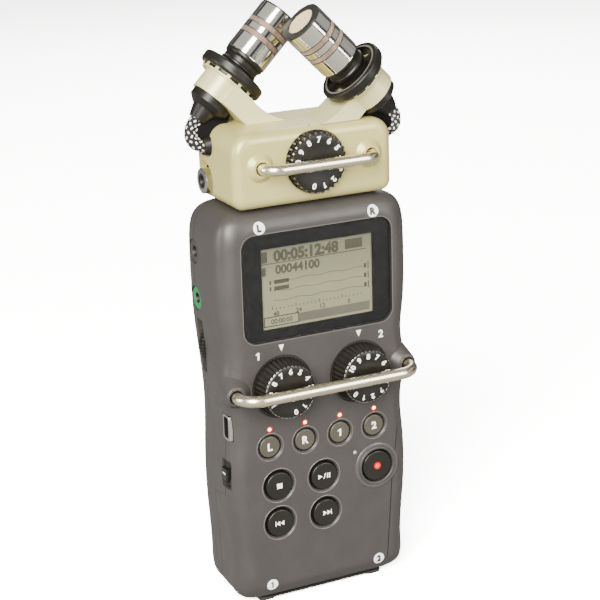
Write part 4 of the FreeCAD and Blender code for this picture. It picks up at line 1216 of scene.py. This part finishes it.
CAMERA_AZIMUTH = math.radians(25.67)
CAMERA_ELEVATION = math.radians(17.56)
CAMERA_ROLL = math.radians(-1.765)
SKY_LOW, SKY_HIGH, SKY_SEEN = 0.15, 0.45, 9.0
PAPER_SEEN = 8.0


def camera_ray(tree):
    """1 where the camera sees something directly, 0 where it lights or is mirrored."""
    return new_node(tree, "LightPath").outputs["Is Camera Ray"]


def paper():
    """Bright matt paper that lights the recorder less than its brightness to the eye."""
    made = surface("paper", (0.24, 0.24, 0.24), 0.9, variation=0.004, patch=3.0, grain=600.0)
    tree = made.node_tree
    seen = new_node(tree, "BsdfDiffuse", Color=(PAPER_SEEN, PAPER_SEEN, PAPER_SEEN, 1))
    mix = new_node(tree, "MixShader")
    link(tree, camera_ray(tree), mix.inputs[0])
    link(tree, shader_of(made).outputs["BSDF"], mix.inputs[1])
    link(tree, seen.outputs["BSDF"], mix.inputs[2])
    link(tree, mix.outputs["Shader"], tree.nodes["Material Output"].inputs["Surface"])
    return made


def stage_plane():
    """Floor that turns up into a backdrop far behind the recorder."""
    bm = bmesh.new()
    reach, rise, bend_radius, steps = 2.4, 2.2, 0.8, 16
    line = [(-2.0, 0.0)]
    for step in range(steps + 1):
        angle = math.pi / 2 * step / steps
        line.append((reach - bend_radius * (1 - math.sin(angle)), bend_radius * (1 - math.cos(angle))))
    line.append((reach, rise))
    turn = Matrix.Rotation(-CAMERA_AZIMUTH, 4, "Z")
    rows = []
    for across in (-3.0, 3.0):
        rows.append([bm.verts.new(turn @ Vector((across, y, z))) for y, z in line])
    for index in range(len(line) - 1):
        bm.faces.new([rows[0][index], rows[1][index], rows[1][index + 1], rows[0][index + 1]])
    mesh = to_mesh("backdrop", bm)
    mesh.materials.append(paper())
    for polygon in mesh.polygons:
        polygon.use_smooth = True
    in_scene("backdrop", mesh)


def photo_camera():
    data = bpy.data.cameras.new("camera")
    data.lens = 103.58
    data.sensor_width = 36.0
    data.clip_start = 0.01
    camera = in_scene("camera", data)
    camera.matrix_world = (
        Matrix.Translation(at(-232.79, -470.22, 268.96))
        @ Matrix.Rotation(-CAMERA_AZIMUTH, 4, "Z")
        @ Matrix.Rotation(math.pi / 2 - CAMERA_ELEVATION, 4, "X")
        @ Matrix.Rotation(CAMERA_ROLL, 4, "Z")
    )
    bpy.context.scene.camera = camera


def softbox(name, azimuth, elevation, distance, size, watts, colour=(1, 1, 1)):
    """Area light aimed at the recorder. Azimuth 0 is in front of it and grows to its right."""
    data = bpy.data.lights.new(name, "AREA")
    data.shape = "RECTANGLE"
    data.size, data.size_y = size
    data.energy = watts
    data.color = colour
    obj = in_scene(name, data)
    a, e = math.radians(azimuth), math.radians(elevation)
    back = Vector((math.sin(a) * math.cos(e), -math.cos(a) * math.cos(e), math.sin(e)))
    target = Vector((0, 0, 0.1))
    obj.location = target + back * distance
    obj.rotation_mode = "QUATERNION"
    obj.rotation_quaternion = (-back).to_track_quat("-Z", "Y")


def studio_world():
    """Pale sky that is brighter upwards, with soft uneven panels for the chrome to mirror."""
    world = bpy.data.worlds.new("studio")
    world.use_nodes = True
    bpy.context.scene.world = world
    sky = world.node_tree
    up = height_of(sky, coordinates(sky, "Generated"))
    panels = new_node(sky, "TexWave", Scale=0.9, Distortion=1.6, Detail=1.0)
    uneven = new_node(sky, "Math")
    uneven.operation = "MULTIPLY"
    link(sky, remap(sky, up, SKY_LOW, SKY_HIGH, -0.2, 0.9), uneven.inputs[0])
    link(sky, remap(sky, panels.outputs["Fac"], 0.15, 1.9, 0.35, 0.65), uneven.inputs[1])
    strength = new_node(sky, "Mix")
    link(sky, camera_ray(sky), strength.inputs[0])
    link(sky, uneven.outputs["Value"], strength.inputs[2])
    strength.inputs[3].default_value = SKY_SEEN
    link(sky, strength.outputs[0], sky.nodes["Background"].inputs["Strength"])
    sky.nodes["Background"].inputs["Color"].default_value = (1, 1, 1, 1)


stage_plane()
photo_camera()
softbox("key_light", -42, 30, 1.1, (0.55, 0.8), 45.0, (1.0, 0.97, 0.91))
softbox("front_fill", 28, 20, 1.3, (0.5, 0.9), 17.0, (1.0, 0.98, 0.94))
softbox("left_light", -100, 12, 1.2, (0.3, 0.7), 8.0)
softbox("back_light", 150, 35, 1.2, (0.4, 0.8), 4.0)
studio_world()
